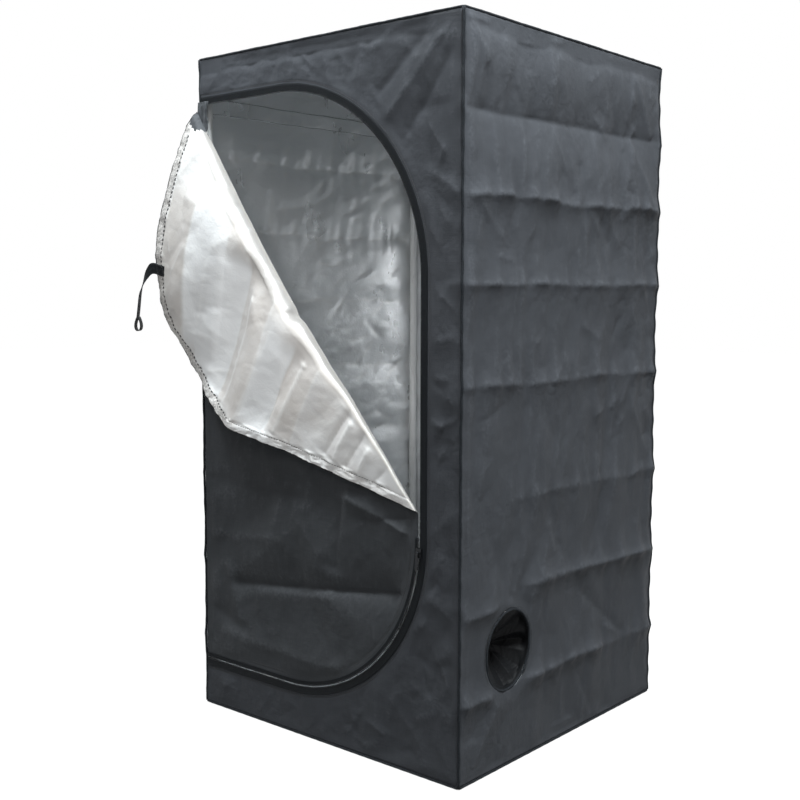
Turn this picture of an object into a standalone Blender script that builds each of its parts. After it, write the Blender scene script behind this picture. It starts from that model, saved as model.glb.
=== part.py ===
"""An indoor grow tent: a steel tube frame in plastic corners, a sewn skin of six fabric panels,
and a D-shaped zipped door whose upper half is unzipped and folded down over its outside.

Units are metres, +Z is up, the door faces -Y, and the origin is the middle of the floor's underside.
"""

import math

import bmesh
import bpy
from mathutils import Matrix, Vector

# Overall size of the sewn skin
TENT_WIDTH = 0.610
TENT_DEPTH = 0.610
TENT_HEIGHT = 1.200

# Fabric, bound seams and the gap between pieces that touch
FABRIC = 0.001
GAP = 0.0003
BINDING_RADIUS = 0.0032
BASE_BINDING_RADIUS = 0.0022
SKIN_RECESS = 0.0015

# Frame tubes and the plastic corners that hold them
TUBE_RADIUS = 0.008
TUBE_WALL = 0.0008
SOCKET_WALL = 0.0022
SOCKET_REACH = 0.042
SOCKET_DEPTH = 0.030
HUB_BEVEL_SHARE = 0.6
SWAGE_LENGTH = 0.040
SWAGE_SHOULDER = 0.003
POST_JOINT_SHARE = 0.5

# Bars that carry a lamp and a filter, and the hooks that slide on the top side tubes
HANGING_BAR_SPREAD = 0.200
HOOK_WALL = 0.0022
HOOK_WIDTH = 0.018
HOOK_MOUTH_ANGLE = math.radians(100)
HOOK_SOCKET_REACH = 0.045
HOOK_SOCKET_DEPTH = 0.030

# Doorway, measured on the line where the two halves of the zip meet
DOOR_TOP_MARGIN = 0.085
DOOR_BOTTOM_MARGIN = 0.089
DOOR_RIGHT_MARGIN = 0.083
DOOR_TOP_RADIUS = 0.317
DOOR_BOTTOM_RADIUS = 0.298
HINGE_GAP = 0.0008

# Zip
ZIP_TAPE_WIDTH = 0.0125
ZIP_COIL_WIDTH = 0.0015
ZIP_COIL_THICKNESS = 0.0024
ZIP_CHANNEL = 0.0018
ZIP_END_MARGIN = 0.004
ZIP_FREE_MARGIN = 0.035

# Zip slider and its pull tab
SLIDER_DROP = 0.062
SLIDER_LENGTH = 0.015
SLIDER_WIDTH = 0.011
SLIDER_PLATE = 0.0014
SLIDER_CLEARANCE = 0.0004
SLIDER_FLANGE = 0.0010
BLADE_THICKNESS = 0.0010
BLADE_LENGTH = 0.006
EAR_THICKNESS = 0.0012
EAR_GAP = 0.0044
EAR_HEIGHT = 0.0042
EAR_LENGTH = 0.0036
PIN_RADIUS = 0.0008
PIN_CLEARANCE = 0.0003
PULL_EYE_WALL = 0.0009
PULL_EYE_WIDTH = 0.0032
PULL_NECK_LENGTH = 0.005
PULL_LENGTH = 0.028
PULL_WIDTH = 0.0062
PULL_THICKNESS = 0.0012
PULL_HOLE_RADIUS = 0.0012

# Line where the door is folded over, from the top at the hinge edge to a height at the zip, and its roll
FOLD_HINGE_DROP = 0.093
FOLD_ZIP_HEIGHT = 0.428
FOLD_RIDGE_HEIGHT = 0.016
FOLD_RIDGE_DEPTH = 0.044
FOLD_FADE = 0.060
FLAP_HINGE_MARGIN = 0.008
# Marks along the fold as shares of its length; at each, how full the roll is and the flap's tilt
FOLD_MARK_SHARES = (0.0, 0.09, 0.18, 0.27, 0.37, 0.46, 0.55, 0.64, 0.75, 0.9, 1.0)
FOLD_FULLNESS_SHARES = (0.45, 0.6, 0.75, 0.9, 1.0, 1.0, 0.95, 0.7, 0.38, 0.2, 0.12)
FLAP_TILT_DEGREES = (12, 10, 6, 1, -6, -6, -2, 1, 2, 1, 1)
# Hanging folds in the flap: their places as shares of the width, their depths, breadth and slant
DRAPE_FOLD_SHARES = (0.02, 0.17, 0.34, 0.49)
DRAPE_FOLD_DEPTHS = (0.005, 0.007, 0.008, 0.006)
DRAPE_FOLD_BREADTH = 0.028
DRAPE_SLANT_SHARE = 0.32

# Tie strap sewn to the flap's hem; its place is measured along the zip from its top end
STRAP_WIDTH = 0.020
STRAP_THICKNESS = 0.0012
STRAP_PLACE = 0.296
STRAP_TAB = 0.012
STRAP_CLEARANCE = 0.0008
STRAP_DROP = 0.089
STRAP_LOOP_LENGTH = 0.026
STRAP_LOOP_WIDTH = 0.013
STRAP_END_TURN = math.radians(-50)
# Route of its centre line from the hem, as shares of its drop: sideways, forwards and down
STRAP_ROUTE_SHARES = (
    (-0.09, -0.03, 0.01),
    (-0.15, -0.06, 0.08),
    (-0.21, -0.09, 0.18),
    (-0.265, -0.11, 0.32),
    (-0.32, -0.135, 0.52),
    (-0.355, -0.15, 0.80),
    (-0.38, -0.16, 1.00),
)
# How far its width has turned from the hem's direction to level, at each of those places
STRAP_TURN_SHARES = (0.05, 0.2, 0.4, 0.6, 0.85, 1.0, 1.0)

# Duct ports: the round holes, their hems and the sleeves drawn shut inside them
PORT_RADIUS = 0.0615
PORT_HEM_RADIUS = 0.0019
INTAKE_FROM_FRONT = 0.133
INTAKE_HEIGHT = 0.195
EXHAUST_FROM_RIGHT = 0.165
EXHAUST_FROM_TOP = 0.165
SLEEVE_FABRIC = 0.0008
SLEEVE_COLLAR = 0.018
SLEEVE_DEPTH = 0.050
SLEEVE_NECK_RADIUS = 0.0080
SLEEVE_NECK_LENGTH = 0.012
SLEEVE_FRILL_LENGTH = 0.008
SLEEVE_FRILL_RADIUS = 0.013
SLEEVE_PLEATS = 9
SLEEVE_PLEAT_DEPTH = 0.0042
SLEEVE_LOW_PLEAT_SHARE = 0.5

# Drawcord round a sleeve's neck, and the spring lock that holds it
DRAWCORD_RADIUS = 0.0011
DRAWCORD_PITCH = 0.0025
DRAWCORD_LEAD = 0.003
DRAWCORD_TAIL = 0.012
DRAWCORD_MOUTH_ANGLE = math.radians(60)
LOCK_RADIUS = 0.0075
LOCK_WALL = 0.0025
LOCK_LENGTH = 0.015
LOCK_BASE = 0.0017
LOCK_CORD_HOLE_RADIUS = 0.0027
PLUNGER_CLEARANCE = 0.0004
PLUNGER_FOOT = 0.0016
PLUNGER_PROUD = 0.005
PLUNGER_TRAVEL = 0.003

# Fineness of the model
TUBE_SIDES = 12
SMALL_SIDES = 10
CORD_RESOLUTION = 2
ARC_STEPS = 32
HOOK_STEPS = 14
RING_STEPS = 24
SLEEVE_STEPS_PER_PLEAT = 4
FLAP_STEPS_ALONG = 30
FLAP_STEPS_ACROSS = 14
FLAP_STEP_BIAS = 1.35
FLAP_ZIP_STEP = 0.020
LOOP_STEPS = 12
SMOOTH_ANGLE = math.radians(35)
MERGE = 0.00005
CUT_OVERRUN = 0.002

# Places worked out from the sizes above
HALF_WIDTH = TENT_WIDTH / 2
HALF_DEPTH = TENT_DEPTH / 2
SOCKET_BORE = TUBE_RADIUS + GAP
SOCKET_RADIUS = SOCKET_BORE + SOCKET_WALL
TUBE_SEAT = SOCKET_REACH - SOCKET_DEPTH + GAP
FRAME_INSET = SKIN_RECESS + FABRIC + GAP + SOCKET_RADIUS
FRAME_BOTTOM = FABRIC + GAP + SOCKET_RADIUS
FRAME_TOP = TENT_HEIGHT - FRAME_INSET
FRAME_X = HALF_WIDTH - FRAME_INSET
FRAME_Y = HALF_DEPTH - FRAME_INSET
PANEL_EDGE = 2 * BINDING_RADIUS + GAP
BASE_EDGE = 2 * BASE_BINDING_RADIUS + 2 * GAP
PANEL_X = HALF_WIDTH - SKIN_RECESS - FABRIC / 2
PANEL_Y = HALF_DEPTH - SKIN_RECESS - FABRIC / 2
ROOF_Z = TENT_HEIGHT - SKIN_RECESS - FABRIC / 2
DOOR_Y = -PANEL_Y
HINGE_X = -HALF_WIDTH + 2 * BINDING_RADIUS + HINGE_GAP
DOOR_TOP = TENT_HEIGHT - DOOR_TOP_MARGIN
DOOR_BOTTOM = DOOR_BOTTOM_MARGIN
FOLD_HINGE_HEIGHT = TENT_HEIGHT - FOLD_HINGE_DROP
DOOR_RIGHT = HALF_WIDTH - DOOR_RIGHT_MARGIN
TAPE_INNER = ZIP_CHANNEL / 2
TAPE_OUTER = TAPE_INNER + ZIP_TAPE_WIDTH
CLOTH_EDGE = TAPE_OUTER + GAP
FOLD_START = Vector((HINGE_X, FOLD_HINGE_HEIGHT))
FOLD_END = Vector((DOOR_RIGHT, FOLD_ZIP_HEIGHT))
FOLD_LENGTH = (FOLD_END - FOLD_START).length
FOLD_ALONG = (FOLD_END - FOLD_START).normalized()
FOLD_ACROSS = Vector((-FOLD_ALONG.y, FOLD_ALONG.x))
FLAP_TILT_ANGLES = [math.radians(angle) for angle in FLAP_TILT_DEGREES]
FOLD_TURN = math.pi * (FOLD_RIDGE_HEIGHT + FOLD_RIDGE_DEPTH / 2) / 2
FOLD_AXIS_Y = DOOR_Y - FOLD_RIDGE_DEPTH / 2
ZIP_CENTRE = Vector((DOOR_RIGHT - DOOR_BOTTOM_RADIUS, DOOR_Y, DOOR_BOTTOM + DOOR_BOTTOM_RADIUS))
SLIDER_HEIGHT = FOLD_ZIP_HEIGHT - SLIDER_DROP
SLIDER_ANGLE = math.asin((SLIDER_HEIGHT - ZIP_CENTRE.z) / DOOR_BOTTOM_RADIUS)
PLATE_INNER = ZIP_COIL_THICKNESS / 2 + SLIDER_CLEARANCE
PLATE_OUTER = PLATE_INNER + SLIDER_PLATE
PIN_HEIGHT = PLATE_OUTER + EAR_HEIGHT - EAR_LENGTH / 2
INTAKE = Vector((PANEL_X, INTAKE_FROM_FRONT - HALF_DEPTH, INTAKE_HEIGHT))
EXHAUST = Vector((HALF_WIDTH - EXHAUST_FROM_RIGHT, PANEL_Y, TENT_HEIGHT - EXHAUST_FROM_TOP))
PORT_STEPS = SLEEVE_PLEATS * SLEEVE_STEPS_PER_PLEAT
PORT_HOLE = PORT_RADIUS + PORT_HEM_RADIUS + GAP
SLEEVE_START = PORT_HEM_RADIUS + GAP
NECK_END = SLEEVE_DEPTH + SLEEVE_NECK_LENGTH
DRAWCORD_RING = SLEEVE_NECK_RADIUS + SLEEVE_FABRIC / 2 + GAP + DRAWCORD_RADIUS
LOCK_BORE = LOCK_RADIUS - LOCK_WALL
LOCK_DROP = DRAWCORD_RING + DRAWCORD_LEAD + LOCK_RADIUS
CORD_ROOM = DRAWCORD_RADIUS + GAP

COLOURS = {
    "canvas": ((0.030, 0.034, 0.039), 0.42, 0.0),
    "canvas_dark": ((0.016, 0.018, 0.021), 0.55, 0.0),
    "lining": ((0.62, 0.62, 0.61), 0.22, 1.0),
    "binding": ((0.006, 0.007, 0.008), 0.60, 0.0),
    "zip_black": ((0.007, 0.008, 0.009), 0.45, 0.0),
    "zip_metal": ((0.045, 0.048, 0.052), 0.35, 0.8),
    "webbing": ((0.010, 0.011, 0.012), 0.70, 0.0),
    "frame_steel": ((0.62, 0.63, 0.63), 0.38, 0.2),
    "black_plastic": ((0.018, 0.018, 0.019), 0.45, 0.0),
    "cord": ((0.010, 0.010, 0.011), 0.75, 0.0),
}


def new_collection(name, hidden=False):
    collection = bpy.data.collections.new(name)
    collection.hide_render = hidden
    bpy.context.scene.collection.children.link(collection)
    return collection


def new_material(name):
    colour, roughness, metallic = COLOURS[name]
    material = bpy.data.materials.new(name)
    material.use_nodes = True
    shader = material.node_tree.nodes["Principled BSDF"]
    shader.inputs["Base Color"].default_value = (*colour, 1)
    shader.inputs["Roughness"].default_value = roughness
    shader.inputs["Metallic"].default_value = metallic
    return material


def place(obj, name, material):
    """Names an object, gives it its material and moves it into the tent's collection."""
    obj.name = name
    obj.data.name = name
    obj.data.materials.clear()
    obj.data.materials.append(MATERIALS[material])
    for collection in list(obj.users_collection):
        collection.objects.unlink(obj)
    TENT.objects.link(obj)
    return obj


def object_from_bmesh(bm, name, material):
    mesh = bpy.data.meshes.new(name)
    bm.to_mesh(mesh)
    bm.free()
    return place(bpy.data.objects.new(name, mesh), name, material)


def smooth(obj):
    obj.data.shade_smooth()
    obj.data.set_sharp_from_angle(angle=SMOOTH_ANGLE)
    return obj


def add_modifier(obj, kind, **settings):
    modifier = obj.modifiers.new(kind.title(), kind)
    for key, value in settings.items():
        setattr(modifier, key, value)
    return modifier


def apply_modifiers(obj):
    """Replaces the object's mesh with its evaluated mesh and drops the modifiers."""
    bpy.context.view_layer.update()
    graph = bpy.context.evaluated_depsgraph_get()
    mesh = bpy.data.meshes.new_from_object(obj.evaluated_get(graph))
    obj.modifiers.clear()
    obj.data = mesh
    return obj


def solid_from_curve(curve):
    """Puts a mesh object with welded caps in the place of a curve object."""
    bpy.context.view_layer.update()
    graph = bpy.context.evaluated_depsgraph_get()
    mesh = bpy.data.meshes.new_from_object(curve.evaluated_get(graph))
    bm = bmesh.new()
    bm.from_mesh(mesh)
    bmesh.ops.remove_doubles(bm, verts=bm.verts, dist=MERGE)
    bm.to_mesh(mesh)
    bm.free()
    solid = bpy.data.objects.new(curve.name, mesh)
    TENT.objects.link(solid)
    solid.matrix_world = curve.matrix_world
    bpy.data.objects.remove(curve)
    return solid


def boolean(obj, other, operation):
    """Cuts with another object, or joins it, and drops that other object."""
    add_modifier(obj, "BOOLEAN", operation=operation, object=other)
    apply_modifiers(obj)
    bpy.data.objects.remove(other)
    return obj


def pivot(name, location, parent=None):
    """An empty on a joint's axis."""
    empty = bpy.data.objects.new(name, None)
    empty.empty_display_size = SOCKET_RADIUS
    TENT.objects.link(empty)
    empty.location = location
    if parent is not None:
        carry(parent, empty)
    bpy.context.view_layer.update()
    return empty


def carry(parent, *children):
    """Parents objects where they stand."""
    bpy.context.view_layer.update()
    for child in children:
        child.parent = parent
        child.matrix_parent_inverse = parent.matrix_world.inverted()


def toward(direction, origin=(0, 0, 0)):
    """A matrix at the origin given, whose +Z runs along the direction and whose +Y stays up."""
    turn = Vector(direction).to_track_quat("Z", "Y").to_matrix().to_4x4()
    return Matrix.Translation(origin) @ turn


def helper(bm):
    """A shape for cutting or joining, kept out of the tent's collection."""
    mesh = bpy.data.meshes.new("helper")
    bm.to_mesh(mesh)
    bm.free()
    obj = bpy.data.objects.new("helper", mesh)
    HELPERS.objects.link(obj)
    obj.display_type = "WIRE"
    obj.hide_render = True
    return obj


def cylinder(radius, length, matrix, sides=TUBE_SIDES):
    """A closed cylinder that starts at the matrix's origin and runs along its +Z."""
    bm = bmesh.new()
    bmesh.ops.create_cone(
        bm, cap_ends=True, segments=sides, radius1=radius, radius2=radius, depth=length,
        matrix=matrix @ Matrix.Translation((0, 0, length / 2)),
    )
    return bm


def box(size, centre, matrix=Matrix()):
    bm = bmesh.new()
    bmesh.ops.create_cube(bm, size=1)
    bmesh.ops.scale(bm, vec=size, verts=bm.verts)
    bmesh.ops.translate(bm, vec=centre, verts=bm.verts)
    bmesh.ops.transform(bm, matrix=matrix, verts=bm.verts)
    return bm


def turned(name, material, profile, matrix):
    """A tube turned about Z from its section's outline of (radius, height) points."""
    bm = bmesh.new()
    points = [bm.verts.new((radius, 0, height)) for radius, height in profile]
    for first, second in zip(points, points[1:] + points[:1]):
        bm.edges.new((first, second))
    obj = object_from_bmesh(bm, name, material)
    add_modifier(
        obj, "SCREW", axis="Z", steps=TUBE_SIDES, render_steps=TUBE_SIDES,
        use_merge_vertices=True, merge_threshold=MERGE,
    )
    apply_modifiers(obj)
    obj.matrix_world = matrix
    return smooth(obj)


def flat_sheet(name, material, outlines, thickness, matrix):
    """A sheet of even thickness about its own XY plane, cut to an outline and to any holes after it."""
    curve = bpy.data.curves.new(name, "CURVE")
    curve.dimensions = "2D"
    curve.fill_mode = "BOTH"
    curve.extrude = thickness / 2
    for outline in outlines:
        spline = curve.splines.new("POLY")
        spline.points.add(len(outline) - 1)
        for point, (x, y) in zip(spline.points, outline):
            point.co = (x, y, 0, 1)
        spline.use_cyclic_u = True
    obj = place(bpy.data.objects.new(name, curve), name, material)
    obj.matrix_world = matrix
    return obj


def cord(name, material, path, radius, cyclic=False):
    """A round cord along a path of 3D points."""
    curve = bpy.data.curves.new(name, "CURVE")
    curve.dimensions = "3D"
    curve.bevel_depth = radius
    curve.bevel_resolution = CORD_RESOLUTION
    curve.use_fill_caps = True
    spline = curve.splines.new("POLY")
    spline.points.add(len(path) - 1)
    for point, co in zip(spline.points, path):
        point.co = (*co, 1)
    spline.use_cyclic_u = cyclic
    return place(bpy.data.objects.new(name, curve), name, material)


def cloth(name, material, rows, thickness):
    """A sheet of even thickness over rows of 3D points, each row as long as the others."""
    across = len(rows[0])
    bm = bmesh.new()
    bmesh.ops.create_grid(bm, x_segments=across - 1, y_segments=len(rows) - 1, size=1)
    bm.verts.ensure_lookup_table()
    for index, vert in enumerate(bm.verts):
        vert.co = rows[index // across][index % across]
    obj = object_from_bmesh(bm, name, material)
    add_modifier(obj, "SOLIDIFY", thickness=thickness, offset=0)
    return smooth(obj)


def arc(centre, radius, start, end, steps=ARC_STEPS):
    """Points on an arc from one angle to another, both included."""
    angles = [start + (end - start) * step / steps for step in range(steps + 1)]
    return [(centre[0] + radius * math.cos(a), centre[1] + radius * math.sin(a)) for a in angles]


def circle(centre, radius, steps):
    return arc(centre, radius, 0, 2 * math.pi, steps)[:-1]


def doorway_path(offset, left=HINGE_X):
    """The D of the doorway from its top left round to its bottom left, moved outwards by the offset."""
    top, right, bottom = DOOR_TOP + offset, DOOR_RIGHT + offset, DOOR_BOTTOM - offset
    upper, lower = DOOR_TOP_RADIUS + offset, DOOR_BOTTOM_RADIUS + offset
    points = [(left, top)]
    points += arc((right - upper, top - upper), upper, math.pi / 2, 0)
    points += arc((right - lower, bottom + lower), lower, 0, -math.pi / 2)
    points.append((left, bottom))
    return points


def upright(y):
    """Stands a sheet drawn in XY up in the XZ plane at this depth."""
    return Matrix.Translation((0, y, 0)) @ Matrix.Rotation(math.pi / 2, 4, "X")


def sideways(x):
    """Stands a sheet drawn as (depth, height) up in the YZ plane at this place."""
    turn = Matrix.Rotation(math.pi / 2, 4, "Z") @ Matrix.Rotation(math.pi / 2, 4, "X")
    return Matrix.Translation((x, 0, 0)) @ turn


def rectangle(half_width, low, high):
    return [(-half_width, low), (half_width, low), (half_width, high), (-half_width, high)]


def build_corners():
    """Eight three-way plastic corners: a hub with three sockets along the tubes."""
    for level, z, up in (("bottom", FRAME_BOTTOM, 1), ("top", FRAME_TOP, -1)):
        for end, y_side in (("front", -1), ("back", 1)):
            for side, x_side in (("left", -1), ("right", 1)):
                arms = ((-x_side, 0, 0), (0, -y_side, 0), (0, 0, up))
                corner = build_corner(f"corner_{level}_{end}_{side}", arms)
                corner.location = (x_side * FRAME_X, y_side * FRAME_Y, z)


def build_corner(name, arms):
    hub = bmesh.new()
    bmesh.ops.create_cube(hub, size=2 * SOCKET_RADIUS)
    corner = object_from_bmesh(hub, name, "black_plastic")
    add_modifier(corner, "BEVEL", width=SOCKET_RADIUS * HUB_BEVEL_SHARE, segments=1)
    apply_modifiers(corner)
    for arm in arms:
        boolean(corner, helper(cylinder(SOCKET_RADIUS, SOCKET_REACH, toward(arm))), "UNION")
    for arm in arms:
        start = toward(arm, Vector(arm) * (SOCKET_REACH - SOCKET_DEPTH))
        bore = cylinder(SOCKET_BORE, SOCKET_DEPTH + CUT_OVERRUN, start)
        boolean(corner, helper(bore), "DIFFERENCE")
    return smooth(corner)


def tube_section(length):
    """Outline of a tube's wall, outer side downwards."""
    bore = TUBE_RADIUS - TUBE_WALL
    return [(TUBE_RADIUS, length), (TUBE_RADIUS, 0), (bore, 0), (bore, length)]


def swaged_section(length):
    """Outline of the wall of a tube whose top narrows to a spigot that fits the next tube."""
    bore = TUBE_RADIUS - TUBE_WALL
    spigot = bore - GAP
    spigot_bore = spigot - TUBE_WALL
    shoulder = length + SWAGE_SHOULDER
    tip = shoulder + SWAGE_LENGTH
    return [
        (spigot, tip), (spigot, shoulder), (TUBE_RADIUS, length), (TUBE_RADIUS, 0),
        (bore, 0), (bore, length - SWAGE_SHOULDER), (spigot_bore, length), (spigot_bore, tip),
    ]


def build_tubes():
    """Four posts of two lengths each, and the tubes round the bottom and the top."""
    post_start = FRAME_BOTTOM + TUBE_SEAT
    post_end = FRAME_TOP - TUBE_SEAT
    joint = post_start + (post_end - post_start) * POST_JOINT_SHARE
    lower = swaged_section(joint - post_start - SWAGE_SHOULDER)
    upper = tube_section(post_end - joint - GAP)
    for end, y in (("front", -FRAME_Y), ("back", FRAME_Y)):
        for side, x in (("left", -FRAME_X), ("right", FRAME_X)):
            name = f"{end}_{side}"
            low = Matrix.Translation((x, y, post_start))
            turned(f"post_lower_{name}", "frame_steel", lower, low)
            high = Matrix.Translation((x, y, joint + GAP))
            turned(f"post_upper_{name}", "frame_steel", upper, high)
    start_x, start_y = -FRAME_X + TUBE_SEAT, -FRAME_Y + TUBE_SEAT
    for level, z in (("bottom", FRAME_BOTTOM), ("top", FRAME_TOP)):
        for end, y in (("front", -FRAME_Y), ("back", FRAME_Y)):
            along = toward((1, 0, 0), (start_x, y, z))
            turned(f"tube_{level}_{end}", "frame_steel", tube_section(-2 * start_x), along)
        for side, x in (("left", -FRAME_X), ("right", FRAME_X)):
            along = toward((0, 1, 0), (x, start_y, z))
            turned(f"tube_{level}_{side}", "frame_steel", tube_section(-2 * start_y), along)


def hook_outline():
    """Section of a hook that closes over a side tube and is open underneath."""
    inner = TUBE_RADIUS + GAP
    start = -math.pi / 2 + HOOK_MOUTH_ANGLE / 2
    end = start + 2 * math.pi - HOOK_MOUTH_ANGLE
    outer_arc = arc((0, 0), inner + HOOK_WALL, start, end, HOOK_STEPS)
    return outer_arc + arc((0, 0), inner, end, start, HOOK_STEPS)


def build_hook(name, side):
    """A hook with the socket for its end of the hanging bar; side is -1 at the left end."""
    hook = flat_sheet(name, "black_plastic", [hook_outline()], HOOK_WIDTH, upright(0))
    hook = solid_from_curve(hook)
    inwards = Vector((-side, 0, 0))
    root = TUBE_RADIUS + GAP + HOOK_WALL / 2
    arm = cylinder(SOCKET_RADIUS, HOOK_SOCKET_REACH - root, toward(inwards, inwards * root))
    boolean(hook, helper(arm), "UNION")
    bore_start = toward(inwards, inwards * (HOOK_SOCKET_REACH - HOOK_SOCKET_DEPTH))
    bore = cylinder(SOCKET_BORE, HOOK_SOCKET_DEPTH + CUT_OVERRUN, bore_start)
    boolean(hook, helper(bore), "DIFFERENCE")
    return smooth(place(hook, name, "black_plastic"))


def build_hanging_bars():
    """Two bars across the top, each held by hooks that slide along the side tubes."""
    start = -FRAME_X + HOOK_SOCKET_REACH - HOOK_SOCKET_DEPTH + GAP
    for end, y in (("front", -HANGING_BAR_SPREAD / 2), ("rear", HANGING_BAR_SPREAD / 2)):
        along = toward((1, 0, 0), (start, y, FRAME_TOP))
        bar = turned(f"hanging_bar_{end}", "frame_steel", tube_section(-2 * start), along)
        carriage = pivot(f"bar_carriage_{end}", (0, y, FRAME_TOP))
        carry(carriage, bar)
        for side, x_side in (("left", -1), ("right", 1)):
            hook = build_hook(f"bar_hook_{end}_{side}", x_side)
            shift = Matrix.Translation((x_side * FRAME_X, y, FRAME_TOP))
            hook.matrix_world = shift @ hook.matrix_world
            carry(carriage, hook)


def build_panels():
    """The six fabric panels: the front frames the doorway, the right and the back have a port."""
    half_x = HALF_WIDTH - PANEL_EDGE
    half_y = HALF_DEPTH - PANEL_EDGE
    low, high = BASE_EDGE, TENT_HEIGHT - PANEL_EDGE
    doorway = doorway_path(CLOTH_EDGE, left=-half_x)
    front = [(-half_x, high), (-half_x, low), (half_x, low), (half_x, high)]
    front = [front[0], *doorway, *front[1:]]
    flat_sheet("front_panel", "canvas", [front], FABRIC, upright(-PANEL_Y))
    exhaust = circle((EXHAUST.x, EXHAUST.z), PORT_HOLE, PORT_STEPS)
    back = [rectangle(half_x, low, high), exhaust]
    flat_sheet("back_panel", "canvas", back, FABRIC, upright(PANEL_Y))
    intake = circle((INTAKE.y, INTAKE.z), PORT_HOLE, PORT_STEPS)
    right = [rectangle(half_y, low, high), intake]
    flat_sheet("right_panel", "canvas", right, FABRIC, sideways(PANEL_X))
    left = [rectangle(half_y, low, high)]
    flat_sheet("left_panel", "canvas", left, FABRIC, sideways(-PANEL_X))
    roof = [rectangle(half_x, -half_y, half_y)]
    flat_sheet("roof_panel", "canvas", roof, FABRIC, Matrix.Translation((0, 0, ROOF_Z)))
    base_x, base_y = HALF_WIDTH - BASE_EDGE, HALF_DEPTH - BASE_EDGE
    floor = [rectangle(base_x, -base_y, base_y)]
    flat_sheet("floor_panel", "canvas", floor, FABRIC, Matrix.Translation((0, 0, FABRIC / 2)))


def build_bindings():
    """Bound seams: one up each corner of the skin and one round its top and its base."""
    levels = (
        ("binding_base", BASE_BINDING_RADIUS, BASE_BINDING_RADIUS + GAP),
        ("binding_top", BINDING_RADIUS, TENT_HEIGHT - BINDING_RADIUS),
    )
    for name, radius, z in levels:
        x, y = HALF_WIDTH - radius, HALF_DEPTH - radius
        path = [(-x, -y, z), (x, -y, z), (x, y, z), (-x, y, z)]
        cord(name, "binding", path, radius, cyclic=True)
    x, y = HALF_WIDTH - BINDING_RADIUS, HALF_DEPTH - BINDING_RADIUS
    start, end = BASE_EDGE, TENT_HEIGHT - PANEL_EDGE
    for side, x_side in (("left", -1), ("right", 1)):
        for face, y_side in (("front", -1), ("back", 1)):
            path = [(x_side * x, y_side * y, start), (x_side * x, y_side * y, end)]
            cord(f"binding_{face}_{side}", "binding", path, BINDING_RADIUS)


def zip_half(name, side, highest):
    """One half of the zip round the doorway, below a height; side is 1 outside and -1 inside."""

    def strip(width):
        left = HINGE_X + ZIP_END_MARGIN
        near = [p for p in doorway_path(side * TAPE_INNER, left) if p[1] < highest]
        far = [p for p in doorway_path(side * (TAPE_INNER + width), left) if p[1] < highest]
        if highest < DOOR_TOP - DOOR_TOP_RADIUS:
            near.insert(0, (DOOR_RIGHT + side * TAPE_INNER, highest))
            far.insert(0, (DOOR_RIGHT + side * (TAPE_INNER + width), highest))
        return near + far[::-1]

    tape = flat_sheet(name, "zip_black", [strip(ZIP_TAPE_WIDTH)], FABRIC, upright(DOOR_Y))
    tape = place(solid_from_curve(tape), name, "zip_black")
    coil = flat_sheet("coil", "zip_black", [strip(ZIP_COIL_WIDTH)], ZIP_COIL_THICKNESS, upright(DOOR_Y))
    return boolean(tape, solid_from_curve(coil), "UNION")


def slider_half(z_side, frame):
    """A plate of the slider with a flange down each edge; z_side is 1 in front and -1 behind."""
    side, tip = SLIDER_WIDTH / 2, FABRIC / 2 + SLIDER_CLEARANCE
    inner = side - SLIDER_FLANGE
    section = [
        (-side, PLATE_OUTER), (side, PLATE_OUTER), (side, tip), (inner, tip),
        (inner, PLATE_INNER), (-inner, PLATE_INNER), (-inner, tip), (-side, tip),
    ]
    section = [(x, z_side * z) for x, z in section]
    along_zip = frame @ Matrix.Rotation(math.pi / 2, 4, "X")
    half = flat_sheet("zip_slider", "zip_metal", [section], SLIDER_LENGTH, along_zip)
    return place(solid_from_curve(half), "zip_slider", "zip_metal")


def build_zip_slider():
    """The slider, with the two coils between its plates, and the tab that hangs from its ears."""
    radial = Vector((math.cos(SLIDER_ANGLE), 0, math.sin(SLIDER_ANGLE)))
    upward = Vector((-radial.z, 0, radial.x))
    frame = Matrix((radial, upward, Vector((0, -1, 0)))).transposed().to_4x4()
    frame.translation = ZIP_CENTRE + radial * DOOR_BOTTOM_RADIUS
    slider = slider_half(1, frame)
    plate_middle = (PLATE_INNER + PLATE_OUTER) / 2
    blade_y = (SLIDER_LENGTH - BLADE_LENGTH) / 2 - SLIDER_CLEARANCE
    blade = box((BLADE_THICKNESS, BLADE_LENGTH, 2 * plate_middle), (0, blade_y, 0), frame)
    boolean(slider, helper(blade), "UNION")
    boolean(slider, slider_half(-1, frame), "UNION")
    ear_height = EAR_HEIGHT + SLIDER_PLATE / 2
    for x_side in (-1, 1):
        centre = (x_side * (EAR_GAP + EAR_THICKNESS) / 2, 0, plate_middle + ear_height / 2)
        ear = box((EAR_THICKNESS, EAR_LENGTH, ear_height), centre, frame)
        boolean(slider, helper(ear), "UNION")
    pin_length = EAR_GAP + EAR_THICKNESS
    pin_start = Matrix.Translation((-pin_length / 2, 0, PIN_HEIGHT)) @ toward((1, 0, 0))
    boolean(slider, helper(cylinder(PIN_RADIUS, pin_length, frame @ pin_start, SMALL_SIDES)), "UNION")
    pull = build_pull(frame)
    arc_centre = pivot("zip_arc_centre", ZIP_CENTRE)
    carry(arc_centre, slider)
    pin = pivot("pull_pin", frame @ Vector((0, 0, PIN_HEIGHT)), arc_centre)
    carry(pin, pull)


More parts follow.
